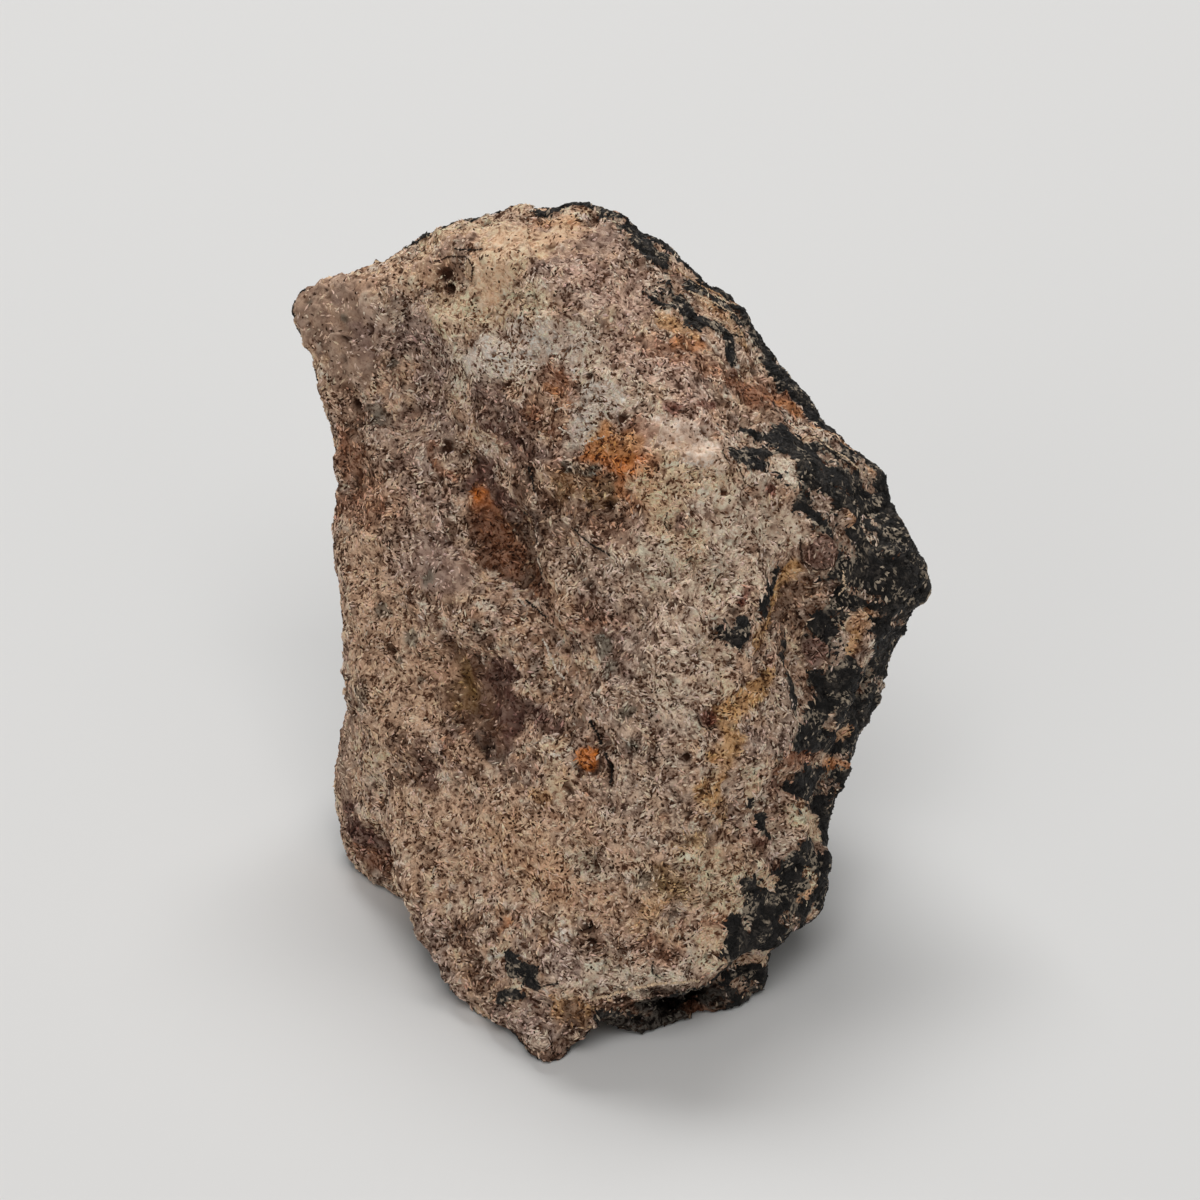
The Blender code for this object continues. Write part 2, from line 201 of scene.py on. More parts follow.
# Rust, ochre, dark patches and small pale ones, in the same form.
RUST_MARKS = [
    (RUST_BROWN, [(548, 372), (566, 392), (556, 428)], 0.85, 0.9),
    (RUST_BROWN, [(534, 402), (535, 424)], 0.6, 1.0),
    (RUST, [(548, 388), (562, 402)], 0.45, 0.8),
    (OLIVE_BROWN, [(565, 484), (605, 492)], 1.1, 0.95),
    (RUST_BROWN, [(575, 470), (625, 450), (640, 490)], 2.0, 0.5),
    (RUST, [(592, 455), (620, 444), (632, 470)], 1.3, 0.8),
    (ORANGE_RUST, [(600, 446), (624, 462), (640, 486)], 1.0, 0.7),
    (ORANGE_RUST, [(498, 532), (512, 548)], 0.7, 0.6),
    (OCHRE, [(598, 436), (628, 446)], 0.9, 0.5),
    (RUST, [(622, 488), (642, 496)], 0.8, 0.9),
    (GREEN_GREY, [(568, 465), (590, 472)], 0.42, 0.9),
    (BROWN, [(592, 512), (612, 520)], 0.9, 0.75),
    (RUST_BROWN, [(600, 530), (625, 545)], 0.8, 0.5),
    (RUST_BROWN, [(636, 418), (652, 426)], 0.6, 0.8),
    (ORANGE_RUST, [(478, 498), (490, 516)], 0.6, 0.8),
    (RUST_BROWN, [(484, 522), (512, 560)], 1.3, 0.8),
    (RUST_BROWN, [(488, 526), (506, 552)], 0.9, 1.0),
    (RUST_BROWN, [(432, 442), (432, 458), (440, 470), (455, 476)], 0.3, 0.9),
    (RUST_BROWN, [(650, 345), (690, 362)], 0.9, 0.75),
    (RUST, [(678, 342), (700, 341)], 0.6, 0.95),
    (RUST_BROWN, [(704, 362), (735, 380)], 0.8, 0.85),
    (OCHRE, [(664, 318), (692, 330)], 0.6, 0.6),
    (OCHRE, [(700, 300), (745, 345)], 0.5, 0.5),
    (RUST_BROWN, [(742, 386), (782, 400)], 1.15, 1.0),
    (RUST, [(776, 404), (796, 414)], 0.5, 0.9),
    (BROWN, [(764, 406), (772, 408)], 0.35, 0.7),
    (RED_BROWN, [(668, 402), (676, 405)], 0.45, 0.9),
    (RED_BROWN, [(700, 404), (712, 406)], 0.38, 0.8),
    (RUST_BROWN, [(340, 432), (346, 462)], 0.4, 0.7),
    (RUST, [(508, 922), (504, 930)], 0.35, 0.8),
    (RUST_BROWN, [(448, 745), (458, 756)], 0.5, 0.9),
    (OLIVE_BROWN, [(460, 672), (466, 698)], 0.8, 0.85),
    (OCHRE, [(796, 566), (780, 592), (764, 616), (752, 645)], 0.5, 1.0),
    (OCHRE, [(766, 680), (745, 700), (726, 716)], 0.75, 0.95),
    (OCHRE, [(735, 745), (722, 768), (710, 790)], 0.95, 0.85),
    (OCHRE, [(716, 800), (724, 815)], 0.7, 0.75),
    (OCHRE, [(536, 796), (546, 800)], 0.5, 0.6),
    (OLIVE_BROWN, [(662, 878), (682, 892)], 0.9, 0.85),
    (OLIVE_BROWN, [(686, 840), (700, 838)], 0.6, 0.8),
    (OCHRE, [(655, 900), (640, 930)], 0.6, 0.5),
    (RUST_BROWN, [(640, 944), (668, 954)], 0.75, 0.65),
    (RUST_BROWN, [(706, 922), (723, 922)], 0.42, 1.0),
    (OCHRE, [(562, 1006), (586, 1014)], 0.8, 0.85),
    (BROWN, [(570, 1004), (580, 1008)], 0.4, 0.7),
    (RUST_BROWN, [(780, 764), (826, 748)], 0.65, 1.0),
    (RUST, [(828, 768), (840, 766)], 0.55, 1.0),
    (RUST_BROWN, [(775, 786), (790, 790)], 0.5, 0.6),
    (RED_BROWN, [(742, 838), (758, 836)], 0.5, 0.6),
    (RED_BROWN, [(742, 602), (750, 590)], 0.32, 0.95),
    # The dark browns in the cavity under the lip and in the slot left of it are partly rusty colour and
    # partly painted shade of those recesses.
    (DARK_BROWN, [(655, 992), (700, 994)], 1.1, 1.0),
    (RUST, [(706, 990), (714, 1006)], 0.6, 0.9),
    (RUST_BROWN, [(648, 1004), (690, 1014)], 0.5, 0.8),
    (DARK_BROWN, [(618, 1003), (634, 1002)], 0.35, 1.0),
    (RUST_BROWN, [(780, 556), (800, 548)], 0.5, 0.4),
    # Brown in the scoop under the apex is partly its own colour and partly painted shade of that hollow.
    (BROWN, [(785, 610), (800, 632)], 1.0, 0.8),
    (BROWN, [(545, 515), (555, 540)], 1.0, 0.8),
    (BROWN, [(572, 1020), (584, 1036)], 0.9, 0.8),
    (MAUVE_GREY, [(550, 955), (568, 965)], 1.0, 0.85),
    (WARM_TAN, [(430, 655), (442, 670)], 1.0, 0.9),
    (TAUPE, [(695, 978), (712, 984)], 0.7, 0.8),
    (BROWN, [(632, 1004), (652, 1008)], 0.7, 0.85),
    (MAUVE_GREY, [(606, 645), (618, 668)], 1.1, 0.85),
    (BROWN, [(580, 930), (592, 946)], 0.8, 0.75),
    (WARM_TAN, [(540, 404), (556, 414)], 0.9, 0.6),
    (TAN, [(505, 216), (522, 222)], 0.8, 0.8),
    (CREAM, [(640, 486), (655, 496)], 0.9, 0.75),
    (MAUVE_GREY, [(426, 542), (440, 558)], 1.0, 0.7),
    (RUST_BROWN, [(346, 450), (352, 474)], 0.9, 0.65),
    (RUST_BROWN, [(356, 450), (368, 485)], 1.0, 0.55),
    (RUST_BROWN, [(378, 488), (388, 505)], 1.0, 0.5),
    (BROWN, [(600, 756), (602, 778)], 0.6, 0.8),
    (PURPLE_BROWN, [(350, 812), (360, 830)], 1.0, 0.8),
    (BROWN, [(608, 645), (616, 662)], 0.9, 0.6),
    (WARM_TAN, [(460, 750), (474, 760)], 0.7, 0.8),
    (BROWN, [(700, 980), (716, 982)], 0.5, 0.7),
    (TAUPE, [(508, 214), (520, 222)], 0.7, 0.6),
    (BROWN, [(788, 836), (798, 848)], 0.7, 0.7),
    (GREY_CREAM, [(580, 860), (602, 868)], 1.0, 0.7),
    (GREY_CREAM, [(374, 306), (390, 316)], 0.9, 0.7),
    (TAN, [(332, 398), (340, 412)], 0.9, 0.8),
]

# Fused crust that shows from the front: pixels, radius in mm, strength.
CRUST_MARKS = [
    ([(405, 246), (440, 228), (500, 209)], 0.2, 0.8),
    ([(535, 211), (575, 205), (610, 211)], 0.35, 1.0),
    ([(610, 211), (650, 240), (690, 270), (738, 304)], 0.5, 1.0),
    ([(738, 304), (762, 345), (800, 395), (845, 447)], 0.85, 1.0),
    ([(845, 447), (875, 465), (888, 490)], 1.0, 1.0),
    ([(622, 229), (636, 236)], 0.45, 0.9),
    ([(640, 243), (660, 258)], 0.75, 1.0),
    ([(603, 215), (608, 218)], 0.35, 0.8),
    ([(660, 292), (688, 313)], 0.9, 0.85),
    ([(692, 322), (724, 334), (730, 356)], 0.5, 0.8),
    ([(690, 285), (735, 322)], 0.5, 0.9),
    ([(745, 430), (776, 436)], 0.38, 0.8),
    ([(734, 454), (776, 448)], 0.48, 0.9),
    ([(750, 466), (766, 464)], 0.42, 1.0),
    ([(792, 446), (850, 480), (880, 500)], 1.8, 1.0),
    ([(790, 478), (850, 488)], 0.9, 1.0),
    ([(828, 508), (868, 540), (905, 585)], 1.9, 1.0),
    ([(852, 582), (905, 600)], 1.7, 1.0),
    ([(902, 548), (926, 575), (916, 600)], 1.1, 1.0),
    ([(842, 552), (838, 612)], 1.0, 0.6),
    ([(890, 612), (882, 690), (860, 735)], 1.9, 1.0),
    ([(838, 682), (848, 720)], 1.6, 0.95),
    ([(812, 724), (830, 700)], 0.9, 0.85),
    ([(800, 738), (850, 745)], 0.8, 0.8),
    ([(802, 790), (848, 785)], 1.2, 0.9),
    ([(828, 805), (828, 895)], 1.1, 1.0),
    ([(806, 848), (788, 872)], 1.0, 0.9),
    ([(765, 905), (800, 882), (822, 880)], 1.6, 1.0),
    ([(748, 932), (800, 912)], 1.5, 1.0),
    ([(735, 948), (772, 940)], 1.1, 1.0),
    ([(746, 884), (758, 882)], 0.4, 0.9),
    ([(738, 985), (760, 985)], 1.3, 1.0),
    ([(752, 968), (764, 972)], 0.6, 0.85),
    ([(716, 994), (740, 1002)], 0.9, 0.9),
    ([(762, 816), (766, 834)], 0.35, 0.9),
    ([(748, 802), (754, 804)], 0.3, 0.9),
    ([(724, 630), (736, 642), (744, 622)], 0.42, 1.0),
    ([(778, 572), (770, 590), (760, 602)], 0.36, 1.0),
    ([(512, 962), (532, 976)], 0.75, 1.0),
    ([(502, 998), (518, 994)], 0.4, 0.9),
    # The crust along the underside of the lip is partly real crust and partly painted shade of the recess
    # under it.
    ([(600, 1018), (660, 1024), (720, 1012)], 0.5, 1.0),
    ([(886, 524), (904, 552)], 1.2, 1.0),
    ([(806, 880), (824, 892)], 0.9, 1.0),
    ([(822, 625), (836, 650)], 0.9, 0.9),
]

# Pale growth that breaks the crust and tan and rust that show through it, in the form of the stains. The
# near black at the end is painted shade, in the cavity under the lip and over the shadow beneath the lip.
CRUST_BREAKS_AND_PAINTED_LIP_SHADE = [
    (GREY_CREAM, [(782, 462), (790, 480)], 0.7, 0.95),
    (GREY_CREAM, [(756, 478), (770, 486)], 0.55, 0.9),
    (ORANGE_TAN, [(845, 516), (848, 522)], 0.42, 0.9),
    (GREY_CREAM, [(862, 530), (872, 540)], 0.45, 0.6),
    (GREY_CREAM, [(880, 558), (890, 562)], 0.35, 0.35),
    (GREY_CREAM, [(852, 590), (880, 598)], 0.35, 0.6),
    (ORANGE_TAN, [(852, 626), (872, 618)], 0.55, 0.85),
    (OCHRE, [(856, 636), (852, 648)], 0.4, 0.8),
    (GREY_CREAM, [(868, 660), (884, 690)], 0.45, 0.6),
    (GREY_TAN, [(840, 640), (835, 660)], 0.5, 0.6),
    (ORANGE_TAN, [(838, 738), (850, 730)], 0.45, 0.75),
    (CREAM, [(795, 812), (812, 830)], 0.9, 0.85),
    (GREY_CREAM, [(785, 838), (775, 850)], 0.6, 0.7),
    (CREAM, [(802, 872), (808, 880)], 0.42, 0.85),
    (CREAM, [(764, 880), (775, 886)], 0.5, 0.85),
    (ORANGE_TAN, [(798, 900), (804, 892)], 0.35, 0.7),
    (GREY_CREAM, [(748, 920), (752, 928)], 0.3, 0.8),
    (WARM_TAN, [(738, 962), (756, 956)], 0.4, 0.8),
    (WARM_TAN, [(735, 985), (745, 992)], 0.4, 0.6),
    (ORANGE_TAN, [(816, 425), (850, 452), (872, 470)], 0.32, 0.75),
    (CREAM, [(700, 292), (735, 305)], 0.3, 0.6),
    (GREY_CREAM, [(674, 300), (680, 308)], 0.3, 0.6),
    (GREY_TAN, [(820, 500), (838, 524)], 0.8, 0.8),
    (TAUPE, [(825, 458), (845, 468)], 0.7, 0.6),
    (TAUPE, [(840, 540), (850, 552)], 0.6, 0.6),
    (TAUPE, [(886, 612), (896, 624)], 0.6, 0.5),
    (TAUPE, [(860, 472), (872, 484)], 0.6, 0.75),
    (GREY_CREAM, [(756, 440), (772, 446)], 0.5, 0.6),
    (TAUPE, [(820, 784), (834, 794)], 0.7, 0.5),
    (TAUPE, [(742, 984), (754, 990)], 0.6, 0.5),
    (TAUPE, [(782, 918), (796, 924)], 0.5, 0.6),
    (GREY_CREAM, [(650, 284), (666, 294)], 0.6, 0.6),
    (RUST_BROWN, [(746, 388), (778, 403)], 1.0, 0.95),
    (RUST, [(778, 404), (794, 414)], 0.45, 0.95),
    # Painted shade: near black in the cavity under the lip and over the shadow beneath the lip.
    (NEARLY_BLACK, [(652, 1002), (680, 996), (706, 1000)], 1.2, 1.0),
    (NEARLY_BLACK, [(600, 1022), (640, 1026), (690, 1022)], 0.75, 1.0),
    (NEARLY_BLACK, [(618, 1040), (660, 1040), (700, 1032)], 0.75, 1.0),
    (RUST_BROWN, [(690, 1008), (708, 1012)], 0.35, 0.8),
]

# Patches that chance lays over the broken face: colour, size in mm, how much longer than wide they are
# upwards, bareness (more is rarer), strength, seed.
MOTTLES = [
    (CREAM, 2.3, 1.0, 0.15, 0.45, 201.0),
    (MAUVE_GREY, 2.0, 1.2, 0.15, 0.5, 211.0),
    (RUST_BROWN, 1.5, 1.0, 0.42, 0.40, 221.0),
    (GREY_CREAM, 1.0, 1.2, 0.2, 0.5, 231.0),
    (BROWN, 1.0, 1.4, 0.28, 0.6, 241.0),
    (ORANGE_TAN, 0.8, 1.0, 0.3, 0.30, 251.0),
    (DARK_BROWN, 0.55, 1.6, 0.42, 0.6, 261.0),
    (CHALK, 0.6, 1.2, 0.38, 0.5, 271.0),
]
# The same, drawn out upwards on the left flank.
FLANK_STREAKS = [
    (BROWN, 0.9, 3.2, 0.15, 0.6, 301.0),
    (CREAM, 0.7, 3.0, 0.30, 0.45, 311.0),
]

# Places with little grain: pixels, radius in mm, how smooth.
SMOOTH_PLACES = [
    ([(312, 305), (350, 300), (345, 350)], 2.4, 0.9),
    ([(482, 268), (520, 245), (570, 235)], 2.2, 0.7),
    ([(430, 262), (480, 235)], 1.2, 0.6),
    ([(662, 432), (705, 442)], 1.6, 0.7),
    ([(725, 515), (790, 530)], 1.6, 0.5),
    ([(425, 565), (450, 580)], 1.4, 0.7),
    ([(480, 478), (498, 505)], 1.2, 0.5),
    ([(470, 680), (505, 730)], 2.0, 0.6),
    ([(345, 700), (345, 800)], 1.6, 0.5),
]

# Grey-green mineral ovals: pixel and radius in mm.
GREEN_OVALS = [
    ((600, 645), 0.7), ((608, 668), 0.6), ((624, 712), 0.5), ((632, 745), 0.5), ((428, 578), 0.45),
    ((382, 614), 0.5), ((411, 638), 0.5), ((400, 660), 0.35), ((420, 680), 0.3), ((596, 468), 0.3),
    ((778, 758), 0.35), ((388, 806), 0.4), ((343, 317), 0.3), ((307, 303), 0.3), ((393, 366), 0.42),
    ((476, 628), 0.35), ((645, 880), 0.6),
]

# Single holes: pixel, radius in mm, depth in mm.
HOLES = [
    ((709, 737), 0.24, 0.30), ((702, 705), 0.22, 0.28), ((728, 373), 0.30, 0.35), ((728, 349), 0.24, 0.3),
    ((750, 370), 0.26, 0.25), ((620, 993), 0.30, 0.3), ((595, 994), 0.30, 0.3), ((368, 330), 0.36, 0.3),
    ((392, 366), 0.36, 0.3), ((517, 341), 0.28, 0.25), ((565, 347), 0.36, 0.25), ((672, 407), 0.30, 0.2),
    ((451, 288), 0.32, 0.5), ((584, 925), 0.50, 0.6), ((590, 945), 0.4, 0.5), ((595, 724), 0.24, 0.5),
    ((598, 738), 0.26, 0.5), ((611, 768), 0.30, 0.45), ((608, 784), 0.26, 0.4), ((530, 470), 0.26, 0.4),
    ((534, 488), 0.24, 0.4), ((619, 502), 0.32, 0.5), ((608, 506), 0.28, 0.45), ((576, 570), 0.34, 0.5),
    ((588, 585), 0.28, 0.4), ((687, 757), 0.26, 0.35), ((757, 760), 0.24, 0.3), ((463, 455), 0.34, 0.5),
    ((724, 492), 0.30, 0.3), ((440, 480), 0.26, 0.25), ((420, 500), 0.26, 0.35), ((653, 748), 0.26, 0.4),
    ((652, 760), 0.22, 0.3), ((780, 777), 0.3, 0.3), ((700, 792), 0.24, 0.3), ((764, 676), 0.26, 0.3),
    ((670, 996), 1.0, 1.3), ((696, 998), 0.8, 1.1), ((626, 1003), 0.35, 0.5), ((490, 748), 0.34, 0.4),
    ((386, 806), 0.3, 0.25), ((356, 405), 0.35, 0.25), ((658, 256), 0.4, 0.25), ((444, 274), 0.5, 0.15),
    ((446, 448), 0.55, 0.15),
]

# Chondrules and grains that stand out: name, pixel, radius in mm, height in mm, colour.
CHONDRULES = [
    ("orange chondrule", (589, 759), 0.82, 0.40, ORANGE_RUST),
    ("dark brown chondrule", (680, 523), 0.62, 0.20, PURPLE_BROWN),
    ("dark red chondrule", (710, 718), 0.60, 0.14, RED_BROWN),
    ("red oval by the crust", (772, 490), 0.42, 0.12, RED_BROWN),
    ("cluster by the apex", (820, 552), 1.15, 0.22, PURPLE_BROWN),
    ("dark oval under the cluster", (833, 586), 0.48, 0.14, DARK_BROWN),
    ("purple oval under the apex", (814, 652), 0.95, 0.16, PURPLE_BROWN),
    ("white grain above the foot", (565, 935), 0.48, 0.34, CHALK),
    ("small white grain", (526, 895), 0.28, 0.18, CHALK),
    ("smooth oval on the crest", (534, 412), 0.6, 0.14, RUST_BROWN),
    ("ring by the rust patch", (745, 394), 0.55, 0.12, RUST_BROWN),
    ("small brown chondrule", (537, 590), 0.6, 0.12, RUST_BROWN),
    ("ring above the lip", (660, 968), 0.42, 0.14, GREY_TAN),
    ("left lump of the foot", (538, 1040), 0.7, 0.2, GREY_TAN),
    ("right lump of the foot", (572, 1038), 0.55, 0.16, TAUPE),
]

# Fine lines, each a chain of slivers: colour, pixels, half width in mm.
FINE_LINES = [
    # The first chalk line is the pale glassy rim of a chip's edge, made brighter as a painted highlight
    # along it.
    (CHALK, [(544, 640), (550, 655), (558, 672), (566, 680)], 0.085),
    (CHALK, [(520, 601), (527, 607)], 0.08),
    (NEARLY_BLACK, [(526, 601), (538, 609), (548, 618)], 0.075),
    (NEARLY_BLACK, [(573, 529), (592, 545), (612, 556)], 0.05),
    (NEARLY_BLACK, [(456, 249), (470, 250), (484, 250)], 0.05),
    (DARK_BROWN, [(435, 262), (450, 256), (466, 257), (473, 266), (472, 282)], 0.05),
    (DARK_BROWN, [(724, 442), (722, 452), (728, 462)], 0.045),
    (DARK_BROWN, [(740, 470), (744, 482), (752, 488)], 0.045),
    (NEARLY_BLACK, [(545, 985), (560, 983)], 0.06),
    (NEARLY_BLACK, [(590, 722), (596, 732), (602, 746)], 0.10),
    (NEARLY_BLACK, [(527, 464), (532, 476), (535, 494)], 0.07),
    (NEARLY_BLACK, [(604, 752), (612, 766), (612, 784)], 0.09),
    (DARK_BROWN, [(668, 514), (664, 524), (670, 534)], 0.045),
    (DARK_BROWN, [(698, 714), (700, 724), (708, 730), (718, 726)], 0.05),
    (NEARLY_BLACK, [(653, 962), (652, 972), (660, 977), (667, 972)], 0.05),
    (DARK_BROWN, [(800, 540), (802, 560), (815, 570), (832, 568)], 0.05),
    (CREAM, [(842, 570), (845, 586), (838, 596)], 0.06),
    (CREAM, [(590, 1000), (620, 992), (655, 984), (700, 980)], 0.08),
    (NEARLY_BLACK, [(690, 318), (715, 330), (745, 338)], 0.05),
    (NEARLY_BLACK, [(684, 280), (712, 296), (738, 310)], 0.05),
    (CREAM, [(690, 292), (716, 304), (736, 316)], 0.05),
    (CREAM, [(706, 316), (730, 326)], 0.06),
    (ORANGE_TAN, [(676, 270), (700, 286), (722, 296)], 0.05),
    (CREAM, [(806, 425), (826, 446), (846, 458), (866, 476)], 0.05),
    (NEARLY_BLACK, [(812, 430), (830, 452), (852, 466)], 0.05),
    (CREAM, [(650, 444), (656, 436), (652, 452)], 0.05),
    (CHALK, [(556, 410), (575, 404), (600, 412)], 0.045),
    (CHALK, [(560, 428), (575, 436), (598, 424)], 0.045),
    (CHALK, [(566, 446), (584, 444), (606, 436)], 0.045),
]
# The slivers: how far apart they are and how far they stand out and wander, in mm, and their seed.
LINE_STEP = 0.11
LINE_RISE = 0.05
LINE_WANDER = 0.02
LINE_SEED = 83
# Half a sliver's length in steps, its widths and its thickness in half widths, and how light it may be. The
# widths and the lightness are a least value and a range above it.
SLIVER_LENGTH = 0.95
SLIVER_WIDTHS = (0.9, 0.9)
SLIVER_THICKNESS = 0.8
SLIVER_LIGHTNESS = (0.8, 0.4)

# How far the edge that the camera sees moves to lie on the photographed outline, all in pixels: where it is,
# across and down, and its move to the right and down.
OUTLINE_MOVES = [
    (519, 203, 0, 0), (499, 210, 0, 1), (477, 215, 0, 4), (457, 224, -1, -2), (439, 236, -4, -8),
    (418, 242, -3, -6), (399, 249, 1, 1), (378, 256, 4, 4), (358, 259, 5, 11), (338, 267, 1, 7),
    (322, 283, -2, -5), (306, 297, -7, -4), (303, 316, -9, 1), (304, 338, -2, 1), (315, 357, -3, 1),
    (318, 379, -1, 0), (319, 400, 1, 0), (326, 421, 3, -1), (329, 441, 3, 0), (330, 460, 6, 0),
    (334, 483, 4, -1), (333, 505, 3, 0), (338, 526, -5, -1), (336, 548, -3, 0), (341, 569, -6, 2),
    (341, 591, -2, 0), (341, 611, 0, 0), (337, 632, 6, 0), (339, 654, 6, 0), (342, 675, -1, 0),
    (340, 694, 4, 1), (345, 714, -1, 0), (333, 731, 8, 3), (335, 753, 2, 1), (335, 776, -1, 0),
    (333, 796, 1, 0), (336, 814, 2, 0), (341, 835, -2, 0), (348, 853, -1, 1), (361, 871, -2, 2),
    (379, 884, -1, 1), (397, 896, 4, -5), (406, 915, 4, -1), (411, 934, 2, -1), (420, 952, 4, -3),
    (433, 967, 2, -2), (444, 985, 3, -3), (460, 997, 0, 0), (476, 1013, 2, -5), (493, 1022, 3, -7),
    (511, 1035, 7, -3), (527, 1051, 2, -2), (544, 1061, 0, -8), (565, 1054, -1, -4), (579, 1036, 3, 4),
    # Under the lip, from (619, 1022) to (680, 1018), the edge moves down over the shadow beneath the lip,
    # which is painted near black as painted shade.
    (599, 1026, -2, -4), (619, 1022, 0, 6), (636, 1027, 0, 5), (659, 1024, 0, 7), (680, 1018, 0, 8),
    (699, 1009, 1, 4), (716, 998, 2, 10), (736, 990, 3, 13), (758, 989, 3, 2), (772, 973, -7, -1),
    (777, 951, -5, -3), (791, 935, 0, 0), (804, 917, 5, 4), (818, 899, 5, 3), (831, 881, -2, 0),
    (836, 859, -7, 0), (832, 839, -4, 0), (835, 817, -4, -2), (847, 797, -7, -5), (855, 778, -8, -3),
    (850, 757, 0, 0), (856, 736, 1, 0), (864, 716, 4, 4), (873, 697, 6, 3), (874, 677, 10, 2),
    (885, 657, 4, 1), (894, 637, 3, 2), (904, 617, 2, 1), (918, 601, 2, 2), (932, 585, -2, 0),
    (931, 563, -5, 2), (920, 546, -5, 3), (907, 529, -3, 1), (897, 509, -3, 2), (886, 492, 4, -1),
    (875, 475, 7, -4), (861, 459, 2, -2), (845, 443, 0, 1), (825, 438, 7, -6), (812, 422, 9, -3),
    (800, 404, 6, -7), (791, 385, 2, -2), (776, 368, 4, -2), (761, 354, 6, -5), (750, 335, 7, -4),
    (738, 319, 10, -7), (723, 302, 3, -6), (709, 286, 1, -2), (695, 275, 1, -1), (681, 259, -1, 1),
    (664, 247, 1, -2), (646, 234, -1, 1), (627, 224, 1, -2), (608, 213, 2, -3), (587, 207, 0, -4),
    (566, 207, 0, -2), (542, 205, -1, 4),
]
# How far around its place each move is felt, in pixels.
OUTLINE_REACH = 14.0
# The edge is where the surface faces the camera by less than this, and its move fades out past it.
EDGE_FACING = 0.25
EDGE_FADE = 0.5

# The seed of the noise that bends the pores and turns the grains. Unseeded, it would differ each run.
NOISE_SEED = 7
# Noise is multiplied by this to run from about -1 to 1.
NOISE_GAIN = 1.6
# A brush ends this many radii from its path and fades out over this many.
BRUSH_END = 1.25
BRUSH_FADE = 0.6
# Waves that fray its edge: height in radii, size in mm and seed.
FRAYS = [(0.3, 1.1, 3.0), (0.22, 0.45, 7.0)]
# The strength of the stains varies: its mean, and a wave of that height, size in mm and seed.
STAIN_STRENGTH = 0.9
STAIN_WAVES = [(0.3, 0.8, 21.0)]
OVAL_STRENGTH = 0.75
# How soft the border of a chance patch is.
PATCH_FADE = 0.25
# How far left of the middle the streaked flank starts, and over how far it comes in, in mm.
FLANK_START = 7
FLANK_FADE = 4

# The crust covers what faces the camera by less than this, less of it on the left and more on the right.
CRUST_FACING = 0.04
LESS_ON_THE_LEFT = 0.24
MORE_ON_THE_RIGHT = 0.26
# Where left and right begin, from the middle, and over how far they come in, in mm.
LEFT_START = 6
RIGHT_START = 1
SIDE_FADE = 6
# How frayed and how soft the border of the crust is.
CRUST_FRAY = 0.25
CRUST_FADE = 0.14
# How high the crust stands over the broken face, in mm, and its blisters: height and size in mm, and seed.
CRUST_HEIGHT = 0.14
BLISTERS = [(0.06, 0.9, 33.0)]

# Relief all over, in mm: size, height and seed of the round bumps, then of the broken chips.
BUMPS = [(3.4, 0.18, 2.1), (1.4, 0.11, 5.3), (0.55, 0.06, 9.7)]
CHIPS = [(2.6, 0.17, 12.0), (1.15, 0.12, 40.0)]
# How steeply the chips tilt, and a factor that gives each its own tilt.
CHIP_TILT = 1.5
CHIP_SHUFFLE = 37.0
# How much stronger that relief is where the stone faces the camera squarely, from where on, and over what.
FRONT_RELIEF = 0.9
SQUARE_START = 0.35
SQUARE_FADE = 0.4
# The share of the chips and pores that the crust hides.
CRUST_CALM = 0.5
# The pores: spacing, radius and depth in mm, and seed.
PORES = [(1.5, 0.50, 0.26, 60.0), (0.75, 0.30, 0.20, 71.0)]
# How closely and how far their outlines are bent, the narrowest pore's share of the radius, and a factor
# that gives each its own width.
PORE_BEND = 2.3
PORE_DRIFT = 0.22
NARROWEST_PORE = 0.35
PORE_SHUFFLE = 53.0
# The shape of a pore's floor: 1 is a cone and 0 is flat. Then how dark pores and single holes are painted;
# the grooves round the chondrules use the holes' darkness. That darkness is partly their own dark brown and
# partly painted shade.
PORE_SLOPE = 0.7
PORE_DARKNESS = 1.3
HOLE_DARKNESS = 2.0
# A single hole is made this much wider and deeper than it is listed, because it tapers.
HOLE_FLARE = 1.25

# Small round grains at random places: how many, radii in mm, height in radii, strength of colour and seed.
GRAIN_COUNT = 160
GRAIN_RADII = (0.25, 0.55)
GRAIN_HEIGHT = 0.3
GRAIN_STRENGTH = 0.45
GRAIN_SEED = 29
GRAIN_COLOURS = (GREY_TAN, MAUVE_GREY, GREEN_GREY, RUST_BROWN, CHALK, PURPLE_BROWN)
# The named chondrules: strength of colour, and the groove around each, its width in radii and depth in mm.
CHONDRULE_STRENGTH = 0.9
GROOVE_WIDTH = 1.35
GROOVE_DEPTH = 0.3
# How sharp the rims of the small grains and of the named chondrules are.
GRAIN_RIM = 3
CHONDRULE_RIM = 4

# The material's noise: feature size in mm, detail, roughness and distortion.
THREADS = (0.55, 4.0, 0.60, 1.8)
GRAIN = (0.22, 2.0, 0.6, 0.8)
COARSE = (1.3, 3.0, 0.6, 0.5)
SOOT_CLOUDS = (0.5, 2.0)
WORN_PATCHES = (0.9, 3.0, 0.6, 1.5)
DUST_CLOUDS = (1.3, 2.0)
# The threads' share of the fabric, the rest being grain.
THREADS_SHARE = 0.6
# Sponge-like holes in it: size and bend in mm, and depth. Their middle value is taken off first.
SPONGES = [(0.46, 0.2, 0.22), (0.25, 0.1, 0.12)]
SPONGE_MIDDLE = 0.42
